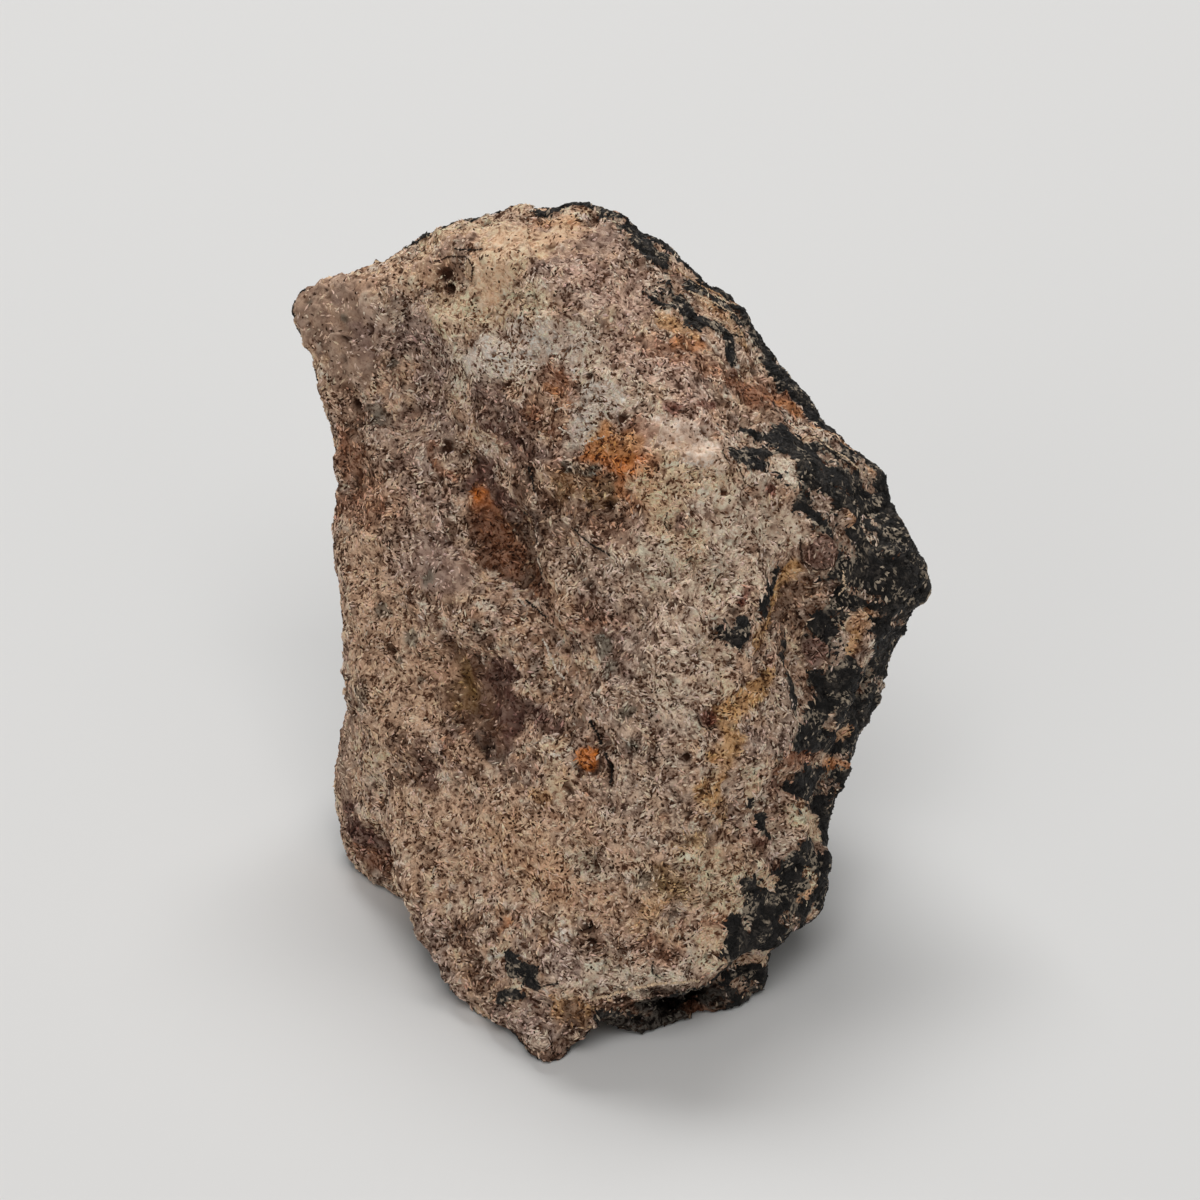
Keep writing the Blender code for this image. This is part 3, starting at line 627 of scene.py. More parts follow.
# Between which values of the noise each thing comes in.
PALE_RAMP = (0.50, 0.57)
PALE_PATCH_RAMP = (0.32, 0.56)
PIT_RAMP = (0.485, 0.41)
SLATE_RAMP = (0.42, 0.66)
WORN_RAMP = (0.55, 0.62)
DUST_RAMP = (0.51, 0.56)
DUST_PATCH_RAMP = (0.52, 0.60)
CRUST_RAMP = (0.42, 0.56)
MOTTLE_RAMP = (0.3, 0.7)
# How much of the coarse noise goes into the pits, and how much of the fabric frays the edge of the crust.
COARSE_IN_PITS = 0.22
FABRIC_IN_CRUST = 1.8
# The share of the grain that is missing in the smooth places, and how deep it looks elsewhere, in mm.
GRAIN_LOST = 0.75
GRAIN_DEPTH = 0.45
# The broken face's roughness, how much less the crust has and how much more the dust. Then the broken face's
# gloss, and how much more the crust has.
BROKEN_ROUGHNESS = 0.92
CRUST_ROUGHNESS_LOSS = 0.34
DUST_ROUGHNESS_GAIN = 0.2
BROKEN_GLOSS = 0.12
CRUST_GLOSS_GAIN = 0.08

# The loose grains, finer than the stone's own mesh: how many, half lengths, half widths and half thicknesses
# in mm, how much rarer the long and the wide ones are, how far they tilt, and seed.
Grains = namedtuple("Grains", "count lengths long_rarity widths wide_rarity thicknesses tilt seed")
FLAKES = Grains(24000, (0.10, 0.33), 1.6, (0.045, 0.10), 1.0, (0.04, 0.09), 0.2, 41)
SPECKS = Grains(14000, (0.07, 0.24), 1.5, (0.05, 0.12), 1.3, (0.03, 0.06), 0.12, 67)
SCALES = Grains(14000, (0.10, 0.32), 1.5, (0.06, 0.14), 1.0, (0.035, 0.07), 0.15, 57)
# The size of the swirls that they follow, in mm, and how high over the floor they stay.
SWIRL = 1.2
FLOOR_GAP = 0.01
# A little liking everywhere, so that no place is ruled out.
LEAST_LIKING = 1e-6
# The share of the grains' density that the far side has: of flakes and specks, then of scales. Then how
# squarely the stone faces the camera where each gets denser, and over what.
BEHIND = 0.15
SCALES_BEHIND = 0.12
DENSER_FROM = -0.2
SCALES_DENSER_FROM = -0.3
DENSER_OVER = 0.3
# Where they gather: waves of that height, size in mm and seed.
FLAKE_THREADS = [(1.0, 0.75, 80.0), (0.6, 0.33, 90.0)]
SPECK_CLUMPS = [(1.0, 1.6, 110.0), (0.7, 0.5, 120.0)]
DUST_CLUMPS = [(1.0, 1.3, 100.0)]
SCALE_WEAR = [(1.0, 0.9, 130.0)]

# How much brighter than the stain a flake is, how much less so on rust, and the least and most it gets.
FLAKE_GAIN = 3.2
RUSTY_LOSS = 1.5
DARKEST_FLAKE = 0.01
BRIGHTEST_FLAKE = 0.94
# Stain this light on average counts as fully pale. Stain counts as rust where its weakest of red, green and
# blue is less than this share of its strongest.
FULLY_PALE = 0.30
RUST_BELOW = 0.4
RUST_FADE = 0.2
# The most chalk in a flake, how bright that is, and the share of it that rust takes away.
MOST_CHALK = 0.7
CHALK_GAIN = 1.2
CHALK_LOST_ON_RUST = 0.6
# How much the colours stray, and between what factors the grains are lighter or darker. The factors for rust
# are added to the flakes' own.
COLOUR_STRAY = 0.03
FLAKE_SHADES = (0.5, 1.4)
RUSTY_SHADES = (-0.4, 0.5)
SPECK_SHADES = (0.35, 1.6)
SCALE_SHADES = (0.6, 1.5)
# How much dark brown is added to a speck, and the largest share of scales that are dust.
BROWN_IN_SPECKS = 0.6
MOST_DUST = 0.36

# Finishes of the loose grains: name, what the colour is multiplied by in places, size of those in mm,
# roughness and gloss.
FLAKE_FINISH = ("mineral_flakes", (0.72, 0.69, 0.66), 0.12, 0.85, 0.15)
SPECK_FINISH = ("dark_grains", (0.72, 0.69, 0.66), 0.12, 0.9, 0.15)
LINE_FINISH = ("cracks_and_threads", (0.72, 0.69, 0.66), 0.12, 0.8, 0.15)
SCALE_FINISH = ("crust_scales", (0.6, 0.6, 0.6), 0.15, 0.6, 0.2)

# The studio: the floor's half width in metres, its colour and roughness, then the room's colour and
# brightness.
FLOOR_REACH = 1.2
FLOOR_COLOUR = (0.735, 0.73, 0.72)
FLOOR_ROUGHNESS = 0.8
ROOM_COLOUR = (1.0, 0.99, 0.975)
ROOM_BRIGHTNESS = 0.18
# Its lights: name, place, width and height in metres, and power in watts.
LIGHTS = [
    ("key_light", (-0.05, 0.52, 0.75), 0.60, 0.24, 4.85),
    ("overhead_light", (0.0, -0.40, 0.80), 0.60, 0.50, 2.7),
    ("front_left_light", (-0.45, -0.60, 0.40), 0.40, 0.40, 0.6),
    ("front_right_light", (0.45, -0.60, 0.40), 0.40, 0.40, 0.25),
]


def make_camera():
    """Sets the camera where the photograph was taken from."""
    data = bpy.data.cameras.new("camera")
    data.sensor_width = SENSOR_WIDTH
    data.lens = SENSOR_WIDTH * PIXELS_PER_MM * CAMERA_DISTANCE / MM / PHOTO_WIDTH
    data.clip_start = NEAREST_SHOWN
    camera = bpy.data.objects.new("camera", data)
    bpy.context.scene.collection.objects.link(camera)
    camera.rotation_mode = "QUATERNION"
    camera.location = CAMERA_PLACE
    camera.rotation_quaternion = (-TO_THE_CAMERA).to_track_quat("-Z", "Y")
    bpy.context.scene.camera = camera


def merged_copy(node):
    """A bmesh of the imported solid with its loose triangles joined."""
    form = bmesh.new()
    form.from_mesh(node.data)
    bmesh.ops.remove_doubles(form, verts=form.verts, dist=WELD)
    return form


def on_stone(tree, pixel):
    """The point of the stone, in mm, that the photograph shows at a pixel, or its edge near by."""
    across = (pixel[0] - PHOTO_MIDDLE) / PIXELS_PER_MM * MM
    upward = (PHOTO_MIDDLE - pixel[1]) / PIXELS_PER_MM * MM
    seen = AIM + TO_THE_RIGHT * across + UP_THE_PICTURE * upward
    sight = (seen - CAMERA_PLACE).normalized()
    hit = tree.ray_cast(CAMERA_PLACE, sight)[0]
    if hit is None:
        steps = range(-SEARCH_DEPTH, SEARCH_DEPTH + 1)
        places = [CAMERA_PLACE + sight * (CAMERA_DISTANCE + step * MM) for step in steps]
        hit = min((tree.find_nearest(place) for place in places), key=lambda found: found[3])[0]
    return np.array(hit) / MM


def refine(form):
    """Divides long edges, finely where the photograph looks and more coarsely behind."""
    for _ in range(REFINING_PASSES):
        form.normal_update()
        long_edges = []
        for edge in form.edges:
            facing = (edge.verts[0].normal + edge.verts[1].normal).dot(TO_THE_CAMERA)
            limit = FRONT_EDGE if facing > FRONT_STARTS else BACK_EDGE
            if edge.calc_length() > limit * MM:
                long_edges.append(edge)
        if not long_edges:
            break
        bmesh.ops.subdivide_edges(form, edges=long_edges, cuts=1, use_single_edge=True)
        bmesh.ops.triangulate(form, faces=form.faces)
        bmesh.ops.smooth_vert(form, verts=form.verts, factor=EVENING,
                              use_axis_x=True, use_axis_y=True, use_axis_z=True)


def bumps(points, size, seed):
    """Smooth noise from about -1 to 1, in bumps of that size in mm."""
    shift = Vector((seed, 1.7 * seed, -seed))
    return np.array([noise.noise(Vector(p) / size + shift) for p in points]) * NOISE_GAIN


def waves(points, layers):
    """Layers of smooth noise on top of each other, each with its height, size in mm and seed."""
    return sum(height * bumps(points, size, seed) for height, size, seed in layers)


def on_photo(points):
    """The pixel where the photograph shows each point, and the pixels per mm there. Points are in mm."""
    sight = points - np.array(CAMERA_PLACE) / MM
    scale = PIXELS_PER_MM * CAMERA_DISTANCE / MM / -(sight @ np.array(TO_THE_CAMERA))
    across = PHOTO_MIDDLE + scale * (sight @ np.array(TO_THE_RIGHT))
    down = PHOTO_MIDDLE - scale * (sight @ np.array(UP_THE_PICTURE))
    return np.stack((across, down), axis=1), scale


def smooth_step(share):
    """0 below 0, 1 above 1 and a soft ramp between."""
    share = np.clip(share, 0, 1)
    return share * share * (3 - 2 * share)


def brush(points, path, radius, fray):
    """How much a brush of that radius, drawn along the path, colours each point. Its edge is frayed."""
    nearest = np.full(len(points), np.inf)
    for start, end in zip(path, path[1:] if len(path) > 1 else path):
        along = end - start
        share = np.clip((points - start) @ along / max(along @ along, TINY), 0, 1)
        nearest = np.minimum(nearest, np.linalg.norm(points - start - share[:, None] * along, axis=1))
    return smooth_step((BRUSH_END - nearest / radius + fray) / BRUSH_FADE)


def round_bump(points, place, radius):
    """1 at the place and 0 past the radius, with a round top."""
    return np.clip(1 - np.sum((points - place) ** 2, axis=1) / radius ** 2, 0, None)


class Surface:
    """The stone's points and normals in mm, and what each point is made of."""

    def __init__(self, mesh):
        self.mesh = mesh
        count = len(mesh.vertices)
        self.points = np.empty(count * 3, np.float32)
        mesh.vertices.foreach_get("co", self.points)
        self.points = self.points.reshape(-1, 3).astype(float) / MM
        self.read_normals()
        self.facing = self.facing_now()
        self.fray = waves(self.points, FRAYS)
        self.stain = np.tile(np.array(TAN), (count, 1))
        self.crust = np.zeros(count)
        self.hollow = np.zeros(count)
        self.smooth = np.zeros(count)
        self.keep = smooth_step(self.points[:, 2] / FLAT_SPOT_FADE)

    def read_normals(self):
        normals = np.empty(len(self.mesh.vertices) * 3, np.float32)
        self.mesh.vertex_normals.foreach_get("vector", normals)
        self.normals = normals.reshape(-1, 3).astype(float)

    def facing_now(self):
        """How squarely each point faces the camera: 1 straight at it, below 0 away from it."""
        return self.normals @ np.array(TO_THE_CAMERA)

    def move(self, height):
        """Moves each point along its normal by that height, less near the flat spot."""
        self.points += self.normals * (height * self.keep)[:, None]

    def write(self):
        """Puts the points back in the mesh."""
        self.points[:, 2] = np.maximum(self.points[:, 2], 0)
        self.mesh.vertices.foreach_set("co", (self.points * MM).astype(np.float32).ravel())
        self.mesh.update()
        self.read_normals()

    def tree(self):
        """The surface as it is now, to look points up on."""
        corners = np.empty(len(self.mesh.polygons) * 3, np.int64)
        self.mesh.polygons.foreach_get("vertices", corners)
        return BVHTree.FromPolygons((self.points * MM).tolist(), corners.reshape(-1, 3).tolist())

    def brushed(self, tree, pixels, radius):
        """How much a brush that is drawn through those pixels touches each point."""
        path = [on_stone(tree, pixel) for pixel in pixels]
        return brush(self.points, path, radius, self.fray)

    def colour(self, colour, amount):
        self.stain += (np.array(colour) - self.stain) * amount[:, None]


def paint_mottles(surface):
    """Patches of other minerals that chance lays over the face, drawn out upwards on the left flank."""
    flank = smooth_step((-surface.points[:, 0] - FLANK_START) / FLANK_FADE)
    for marks, share in ((MOTTLES, 1.0), (FLANK_STREAKS, flank)):
        for colour, size, longer, bareness, strength, seed in marks:
            drawn_out = surface.points / (1, 1, longer)
            patch = smooth_step((bumps(drawn_out, size, seed) - bareness) / PATCH_FADE)
            surface.colour(colour, strength * share * patch)


def paint_stains(surface, tree):
    """Stains, rust and ochre of the broken face."""
    patchy = STAIN_STRENGTH + waves(surface.points, STAIN_WAVES)
    for colour, pixels, radius, strength in STAINS + RUST_MARKS:
        touched = surface.brushed(tree, pixels, radius)
        surface.colour(colour, touched * np.clip(strength * patchy, 0, 1))
    for pixel, radius in GREEN_OVALS:
        surface.colour(GREEN_GREY, surface.brushed(tree, [pixel], radius) * OVAL_STRENGTH)


def calm_smooth_places(surface, tree):
    """Marks where the photograph shows hardly any grain."""
    for pixels, radius, strength in SMOOTH_PLACES:
        surface.smooth = np.maximum(surface.smooth, strength * surface.brushed(tree, pixels, radius))


def paint_crust(surface, tree):
    """The fused crust covers what the photograph doesn't show, and runs over the right rim."""
    leftness = smooth_step((-surface.points[:, 0] - LEFT_START) / SIDE_FADE)
    rightness = smooth_step((surface.points[:, 0] - RIGHT_START) / SIDE_FADE)
    border = CRUST_FACING - LESS_ON_THE_LEFT * leftness + MORE_ON_THE_RIGHT * rightness
    surface.crust = smooth_step((border - surface.facing + CRUST_FRAY * surface.fray) / CRUST_FADE)
    for pixels, radius, strength in CRUST_MARKS:
        surface.crust = np.maximum(surface.crust, strength * surface.brushed(tree, pixels, radius))
    # The breaks, and the painted shade under the lip, also clear the crust.
    for colour, pixels, radius, strength in CRUST_BREAKS_AND_PAINTED_LIP_SHADE:
        touched = strength * surface.brushed(tree, pixels, radius)
        surface.crust *= 1 - touched
        surface.colour(colour, touched)


def chips(points, size, seed):
    """Flat facets with stepped borders, each tilted its own way, from about -1 to 1."""
    shift = Vector((seed, -seed, 0.5 * seed))
    heights = []
    for point in points:
        place = Vector(point) / size + shift
        middle = noise.voronoi(place)[1][0]
        heights.append(noise.cell_vector(middle * CHIP_SHUFFLE).dot(place - middle) * CHIP_TILT)
    return np.array(heights)


def pores(points, spacing, radius, seed):
    """Irregular holes at random places: 0 outside and up to 1 in the middle of a hole."""
    shift = Vector((-seed, seed, 2 * seed))
    depths = []
    for point in points:
        place = Vector(point) / spacing + shift
        place += noise.noise_vector(place * PORE_BEND) * PORE_DRIFT
        distances, middles = noise.voronoi(place)
        chance = abs(noise.cell(middles[0] * PORE_SHUFFLE))
        width = radius / spacing * (NARROWEST_PORE + (1 - NARROWEST_PORE) * chance)
        depths.append(max(0.0, 1 - distances[0] / width))
    return np.array(depths)


def roughen(surface):
    """Round bumps, broken chips and pores all over, weaker chips on the fused crust."""
    rough = 1 - CRUST_CALM * surface.crust
    bold = 1 + FRONT_RELIEF * smooth_step((surface.facing - SQUARE_START) / SQUARE_FADE)
    for size, height, seed in CHIPS:
        surface.move(height * chips(surface.points, size, seed) * rough * bold)
    for size, height, seed in BUMPS:
        surface.move(height * bumps(surface.points, size, seed) * bold)
    surface.write()
    for spacing, radius, depth, seed in PORES:
        hole = pores(surface.points, spacing, radius, seed) * rough
        surface.move(-depth * hole ** PORE_SLOPE)
        # The pores are painted darker: partly their own dark brown, partly painted shade in them.
        surface.hollow = np.maximum(surface.hollow, smooth_step(hole * PORE_DARKNESS))


def raise_crust(surface):
    """The crust is a thin shell with a ledge at its border and small blisters."""
    blisters = np.abs(waves(surface.points, BLISTERS))
    surface.move(surface.crust * (CRUST_HEIGHT + blisters) - 0.5 * CRUST_HEIGHT)


def dig_holes(surface, tree):
    """The single holes that show."""
    depth = np.zeros(len(surface.points))
    for pixel, radius, deep in HOLES:
        near = round_bump(surface.points, on_stone(tree, pixel), radius * HOLE_FLARE)
        depth = np.maximum(depth, near * deep * HOLE_FLARE)
        # The holes are painted darker: partly their own dark brown, partly painted shade in them.
        surface.hollow = np.maximum(surface.hollow, np.clip(near * HOLE_DARKNESS, 0, 1))
    surface.move(-depth)


def set_chondrules(surface, tree):
    """Round grains: the named ones, and scattered small ones."""
    chance = random.Random(GRAIN_SEED)
    height = np.zeros(len(surface.points))
    for _ in range(GRAIN_COUNT):
        place = surface.points[chance.randrange(len(surface.points))]
        radius = GRAIN_RADII[0] + (GRAIN_RADII[1] - GRAIN_RADII[0]) * chance.random() ** 2
        near = round_bump(surface.points, place, radius)
        height = np.maximum(height, near ** 0.5 * radius * GRAIN_HEIGHT)
        shade = chance.choice(GRAIN_COLOURS)
        surface.colour(shade, GRAIN_STRENGTH * np.clip(near * GRAIN_RIM, 0, 1))
    for _, pixel, radius, tall, colour in CHONDRULES:
        place = on_stone(tree, pixel)
        near = round_bump(surface.points, place, radius)
        groove = round_bump(surface.points, place, radius * GROOVE_WIDTH) * (near <= 0)
        height = np.maximum(height, near ** 0.5 * tall) - groove * GROOVE_DEPTH
        surface.colour(colour, CHONDRULE_STRENGTH * np.clip(near * CHONDRULE_RIM, 0, 1))
        surface.crust *= 1 - np.clip(near * CHONDRULE_RIM, 0, 1)
        # The grooves round the chondrules are painted darker: partly their own dark brown, partly painted
        # shade in them.
        surface.hollow = np.maximum(surface.hollow, np.clip(groove * HOLE_DARKNESS, 0, 1))
    surface.move(height)


def fit_outline(surface):
    """Moves the surface near the edge that the camera sees onto the photographed outline."""
    pixels, scale = on_photo(surface.points)
    total = np.zeros(len(pixels))
    across = np.zeros(len(pixels))
    down = np.zeros(len(pixels))
    for edge_across, edge_down, to_the_right, downwards in OUTLINE_MOVES:
        near = np.exp(-np.sum((pixels - (edge_across, edge_down)) ** 2, axis=1) / OUTLINE_REACH ** 2)
        total += near
        across += near * to_the_right
        down += near * downwards
    edge = 1 - smooth_step((np.abs(surface.facing) - EDGE_FACING) / EDGE_FADE)
    share = edge * surface.keep / np.maximum(total, 1) / scale
    surface.points += (share * across)[:, None] * np.array(TO_THE_RIGHT)
    surface.points -= (share * down)[:, None] * np.array(UP_THE_PICTURE)


def store(surface):
    """Keeps stain, crust, hollow and smooth on the mesh for the material."""
    stain = surface.mesh.attributes.new("stain", "FLOAT_COLOR", "POINT")
    shades = np.ones((len(surface.points), 4), np.float32)
    shades[:, :3] = surface.stain
    stain.data.foreach_set("color", shades.ravel())
    layers = (("crust", surface.crust), ("hollow", surface.hollow), ("smooth", surface.smooth))
    for name, values in layers:
        layer = surface.mesh.attributes.new(name, "FLOAT", "POINT")
        layer.data.foreach_set("value", values.astype(np.float32))


class Nodes:
    """Short names for the shader nodes that the stone's finish is made of."""

    def __init__(self, material):
        self.tree = material.node_tree
        self.shader = self.tree.nodes["Principled BSDF"]
        self.place = self.add("ShaderNodeTexCoord").outputs["Object"]

    def add(self, kind, inputs=(), **settings):
        node = self.tree.nodes.new(kind)
        for name, value in settings.items():
            setattr(node, name, value)
        for key, value in dict(inputs).items():
            if isinstance(value, bpy.types.NodeSocket):
                self.tree.links.new(value, node.inputs[key])
            else:
                node.inputs[key].default_value = value
        return node

    def attribute(self, name, output):
        return self.add("ShaderNodeAttribute", attribute_name=name).outputs[output]

    def noise(self, size, detail, rough=0.5, distortion=0.0):
        """Noise with features of about that size in mm."""
        return self.add("ShaderNodeTexNoise", {
            "Vector": self.place, "Scale": 1 / (size * MM), "Detail": detail,
            "Roughness": rough, "Distortion": distortion}).outputs["Fac"]

    def cells(self, size, bent):
        """Distance from the middle of cells of about that size in mm, in places bent by that many mm."""
        drift = self.add("ShaderNodeTexNoise", {"Vector": self.place, "Scale": 1 / (2 * size * MM)})
        centred = self.add("ShaderNodeVectorMath", {0: drift.outputs["Color"], 1: (0.5, 0.5, 0.5)},
                           operation="SUBTRACT").outputs[0]
        moved = self.add("ShaderNodeVectorMath", {0: centred, 1: (4 * bent * MM,) * 3, 2: self.place},
                         operation="MULTIPLY_ADD").outputs[0]
        return self.add("ShaderNodeTexVoronoi", {"Vector": moved, "Scale": 1 / (size * MM)}
                        ).outputs["Distance"]

    def math(self, operation, first, second):
        return self.add("ShaderNodeMath", {0: first, 1: second}, operation=operation).outputs[0]

    def times(self, first, second):
        return self.math("MULTIPLY", first, second)

    def plus(self, first, second):
        return self.math("ADD", first, second)

    def minus(self, first, second):
        return self.math("SUBTRACT", first, second)

    def ramp(self, value, low, high):
        """0 where the value is low or less, 1 where it is high or more."""
        return self.add("ShaderNodeMapRange", {
            "Value": value, "From Min": low, "From Max": high}, clamp=True).outputs["Result"]

    def mix(self, share, first, second, blend="MIX"):
        node = self.add("ShaderNodeMix", {"Factor": share}, data_type="RGBA", blend_type=blend)
        for socket, value in ((node.inputs[6], first), (node.inputs[7], second)):
            if isinstance(value, bpy.types.NodeSocket):
                self.tree.links.new(value, socket)
            else:
                socket.default_value = (*value, 1)
        return node.outputs[2]

    def tinted(self, colour, tint):
        return self.mix(1.0, colour, tint, "MULTIPLY")

    def feed(self, name, value):
        self.tree.links.new(value, self.shader.inputs[name])


def new_finish(name):
    """A new material, and its nodes."""
    material = bpy.data.materials.new(name)
    material.use_nodes = True
    return material, Nodes(material)


def stone_finish():
    """Granular stain colours with pale flakes and dark pores, and dull black crust with pale dust."""
    material, made = new_finish("weathered_chondrite")
    stain = made.attribute("stain", "Color")
    crust = made.attribute("crust", "Fac")
    hollow = made.attribute("hollow", "Fac")
    grainy = made.minus(1.0, made.times(made.attribute("smooth", "Fac"), GRAIN_LOST))

    threads = made.times(made.noise(*THREADS), THREADS_SHARE)
    flaky = made.plus(threads, made.times(made.noise(*GRAIN), 1 - THREADS_SHARE))
    for size, bent, depth in SPONGES:
        centred = made.minus(made.cells(size, bent), SPONGE_MIDDLE)
        flaky = made.plus(flaky, made.times(centred, depth))
    coarse = made.noise(*COARSE)
    pale = made.times(made.ramp(flaky, *PALE_RAMP), made.ramp(coarse, *PALE_PATCH_RAMP))
    pale = made.times(pale, grainy)
    pitted = made.plus(flaky, made.times(made.minus(coarse, 0.5), COARSE_IN_PITS))
    # Darker in the noise's pits and in the mesh's pores, holes and grooves: their own brown there, plus
    # painted shade in the mesh's hollows.
    dark = made.math("MAXIMUM", made.times(made.ramp(pitted, *PIT_RAMP), grainy), hollow)

    ground = made.tinted(stain, GROUND_TINT)
    pale_stain = made.mix(CHALK_SHARE, made.tinted(stain, PALE_TINT), CHALK)
    pale_stain = made.mix(1.0, pale_stain, PALEST, "DARKEN")
    broken = made.mix(pale, ground, pale_stain)
    broken = made.mix(dark, broken, made.tinted(stain, PIT_TINT))

    soot = made.mix(made.ramp(made.noise(*SOOT_CLOUDS), *SLATE_RAMP), SOOT, SLATE)
    soot = made.mix(made.ramp(made.noise(*WORN_PATCHES), *WORN_RAMP), soot, WORN_CRUST)
    dusty = made.ramp(made.noise(*DUST_CLOUDS), *DUST_PATCH_RAMP)
    dusty = made.times(made.ramp(flaky, *DUST_RAMP), dusty)
    crusted = made.mix(dusty, soot, DUST)
    frayed = made.plus(crust, made.times(made.minus(flaky, 0.5), FABRIC_IN_CRUST))
    crust_edge = made.ramp(frayed, *CRUST_RAMP)
    made.feed("Base Color", made.mix(crust_edge, broken, crusted))

    roughness = made.minus(BROKEN_ROUGHNESS, made.times(crust_edge, CRUST_ROUGHNESS_LOSS))
    made.feed("Roughness", made.plus(roughness, made.times(dusty, DUST_ROUGHNESS_GAIN)))
    made.shader.inputs["Metallic"].default_value = 0.0
    gloss = made.plus(made.times(crust_edge, CRUST_GLOSS_GAIN), BROKEN_GLOSS)
    made.feed("Specular IOR Level", gloss)

    relief = {"Height": flaky, "Strength": grainy, "Distance": GRAIN_DEPTH * MM}
    made.feed("Normal", made.add("ShaderNodeBump", relief).outputs["Normal"])
    return material


def make_stone():
    """The whole stone as one closed mesh in place of the plain solid."""
    form = merged_copy(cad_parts[STONE_NODE])
    refine(form)
    for face in form.faces:
        face.smooth = True
    mesh = bpy.data.meshes.new("chondrite")
    form.to_mesh(mesh)
    form.free()
    surface = Surface(mesh)
    fit_outline(surface)
    surface.write()
    tree = surface.tree()
    paint_mottles(surface)
    paint_stains(surface, tree)
    calm_smooth_places(surface, tree)
    paint_crust(surface, tree)
    roughen(surface)
    raise_crust(surface)
    dig_holes(surface, tree)
    set_chondrules(surface, tree)
    surface.write()
    store(surface)
    stone = bpy.data.objects.new("chondrite", mesh)
    bpy.context.scene.collection.objects.link(stone)
    stone.data.materials.append(stone_finish())
    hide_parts(STONE_NODE)
    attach(stone, "root")
    lay_pale_flakes(surface)
    lay_dark_specks(surface)
    lay_crust_scales(surface)
    lay_fine_lines(surface)


class Scatter:
    """Random places on the stone for one kind of grain, more of them where it is liked."""

    def __init__(self, surface, grains, liking):
        self.random = np.random.default_rng(grains.seed)
        corners = np.empty(len(surface.mesh.polygons) * 3, np.int64)
        surface.mesh.polygons.foreach_get("vertices", corners)
        corners = corners.reshape(-1, 3)
        sides = surface.points[corners]
        area = np.linalg.norm(np.cross(sides[:, 1] - sides[:, 0], sides[:, 2] - sides[:, 0]), axis=1)
        weight = area * (liking + LEAST_LIKING)[corners].mean(axis=1)
        chosen = self.random.choice(len(corners), grains.count, p=weight / weight.sum())
        share = self.random.dirichlet((1, 1, 1), grains.count)
        self.corner = corners[chosen, 0]
        self.points = np.einsum("ij,ijk->ik", share, sides[chosen])
        normals = np.einsum("ij,ijk->ik", share, surface.normals[corners[chosen]])
        self.normals = normals / np.linalg.norm(normals, axis=1)[:, None]
        self.sizes = (self.between(grains.lengths, grains.long_rarity),
                      self.between(grains.widths, grains.wide_rarity),
                      self.between(grains.thicknesses))

    def between(self, limits, rarity=1.0):
        """For each place, a number between the limits. High ones are rare where rarity is above 1."""
        low, high = limits
        return low + (high - low) * self.random.random(len(self.points)) ** rarity

    def laid_along(self, tilt):
        """For each place, the long, cross and upward axes of a grain that follows the stone's swirls."""
        flow = np.array([noise.noise_vector(Vector(point) / SWIRL) for point in self.points])
        flow += tilt * self.random.normal(size=flow.shape)
        up = self.normals + tilt * self.random.normal(size=flow.shape)
        up /= np.linalg.norm(up, axis=1)[:, None]
        along = flow - up * np.sum(flow * up, axis=1)[:, None]
        along /= np.linalg.norm(along, axis=1)[:, None]
        return along, np.cross(up, along), up


def mostly_in_front(surface, behind, denser_from):
    """1 on the side that the camera sees, down to the share that is left behind."""
    front = smooth_step((surface.facing_now() - denser_from) / DENSER_OVER)
    return behind + (1 - behind) * front


def lens_form():
    """A lens of eight faces and radius 1: its corners and its faces."""
    form = bmesh.new()
    bmesh.ops.create_uvsphere(form, u_segments=4, v_segments=2, radius=1)
    corners = np.array([corner.co for corner in form.verts])
    faces = np.array([[corner.index for corner in face.verts] for face in form.faces])
    form.free()
    return corners, faces


def lay_flakes(name, places, axes, sizes, shades, material):
    """One piece of joined lenses at the places, each in its own shade."""
    corners, faces = lens_form()
    stretched = corners[None, :, :] * np.stack(sizes, axis=1)[:, None, :]
    laid = places[:, None, :] + np.einsum("nkc,ncx->nkx", stretched, np.stack(axes, axis=1))
    laid = laid.reshape(-1, 3)
    laid[:, 2] = np.maximum(laid[:, 2], FLOOR_GAP)
    count = len(places)
    all_faces = (faces[None, :, :] + len(corners) * np.arange(count)[:, None, None]).reshape(-1, 3)
    mesh = bpy.data.meshes.new(name)
    mesh.from_pydata((laid * MM).tolist(), [], all_faces.tolist())
    colours = np.ones((count, len(corners), 4), np.float32)
    colours[:, :, :3] = shades[:, None, :]
    mesh.attributes.new("stain", "FLOAT_COLOR", "POINT").data.foreach_set("color", colours.ravel())
    mesh.materials.append(material)
    piece = bpy.data.objects.new(name, mesh)
    bpy.context.scene.collection.objects.link(piece)
    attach(piece, "root")


def grain_finish(name, tint, size, roughness, gloss):
    """Each grain's own shade, multiplied by the tint in places of that size in mm."""
    material, made = new_finish(name)
    mottled = made.ramp(made.noise(size, 2.0), *MOTTLE_RAMP)
    stain = made.attribute("stain", "Color")
    made.feed("Base Color", made.mix(mottled, made.tinted(stain, tint), stain))
    made.shader.inputs["Roughness"].default_value = roughness
    made.shader.inputs["Specular IOR Level"].default_value = gloss
    return material


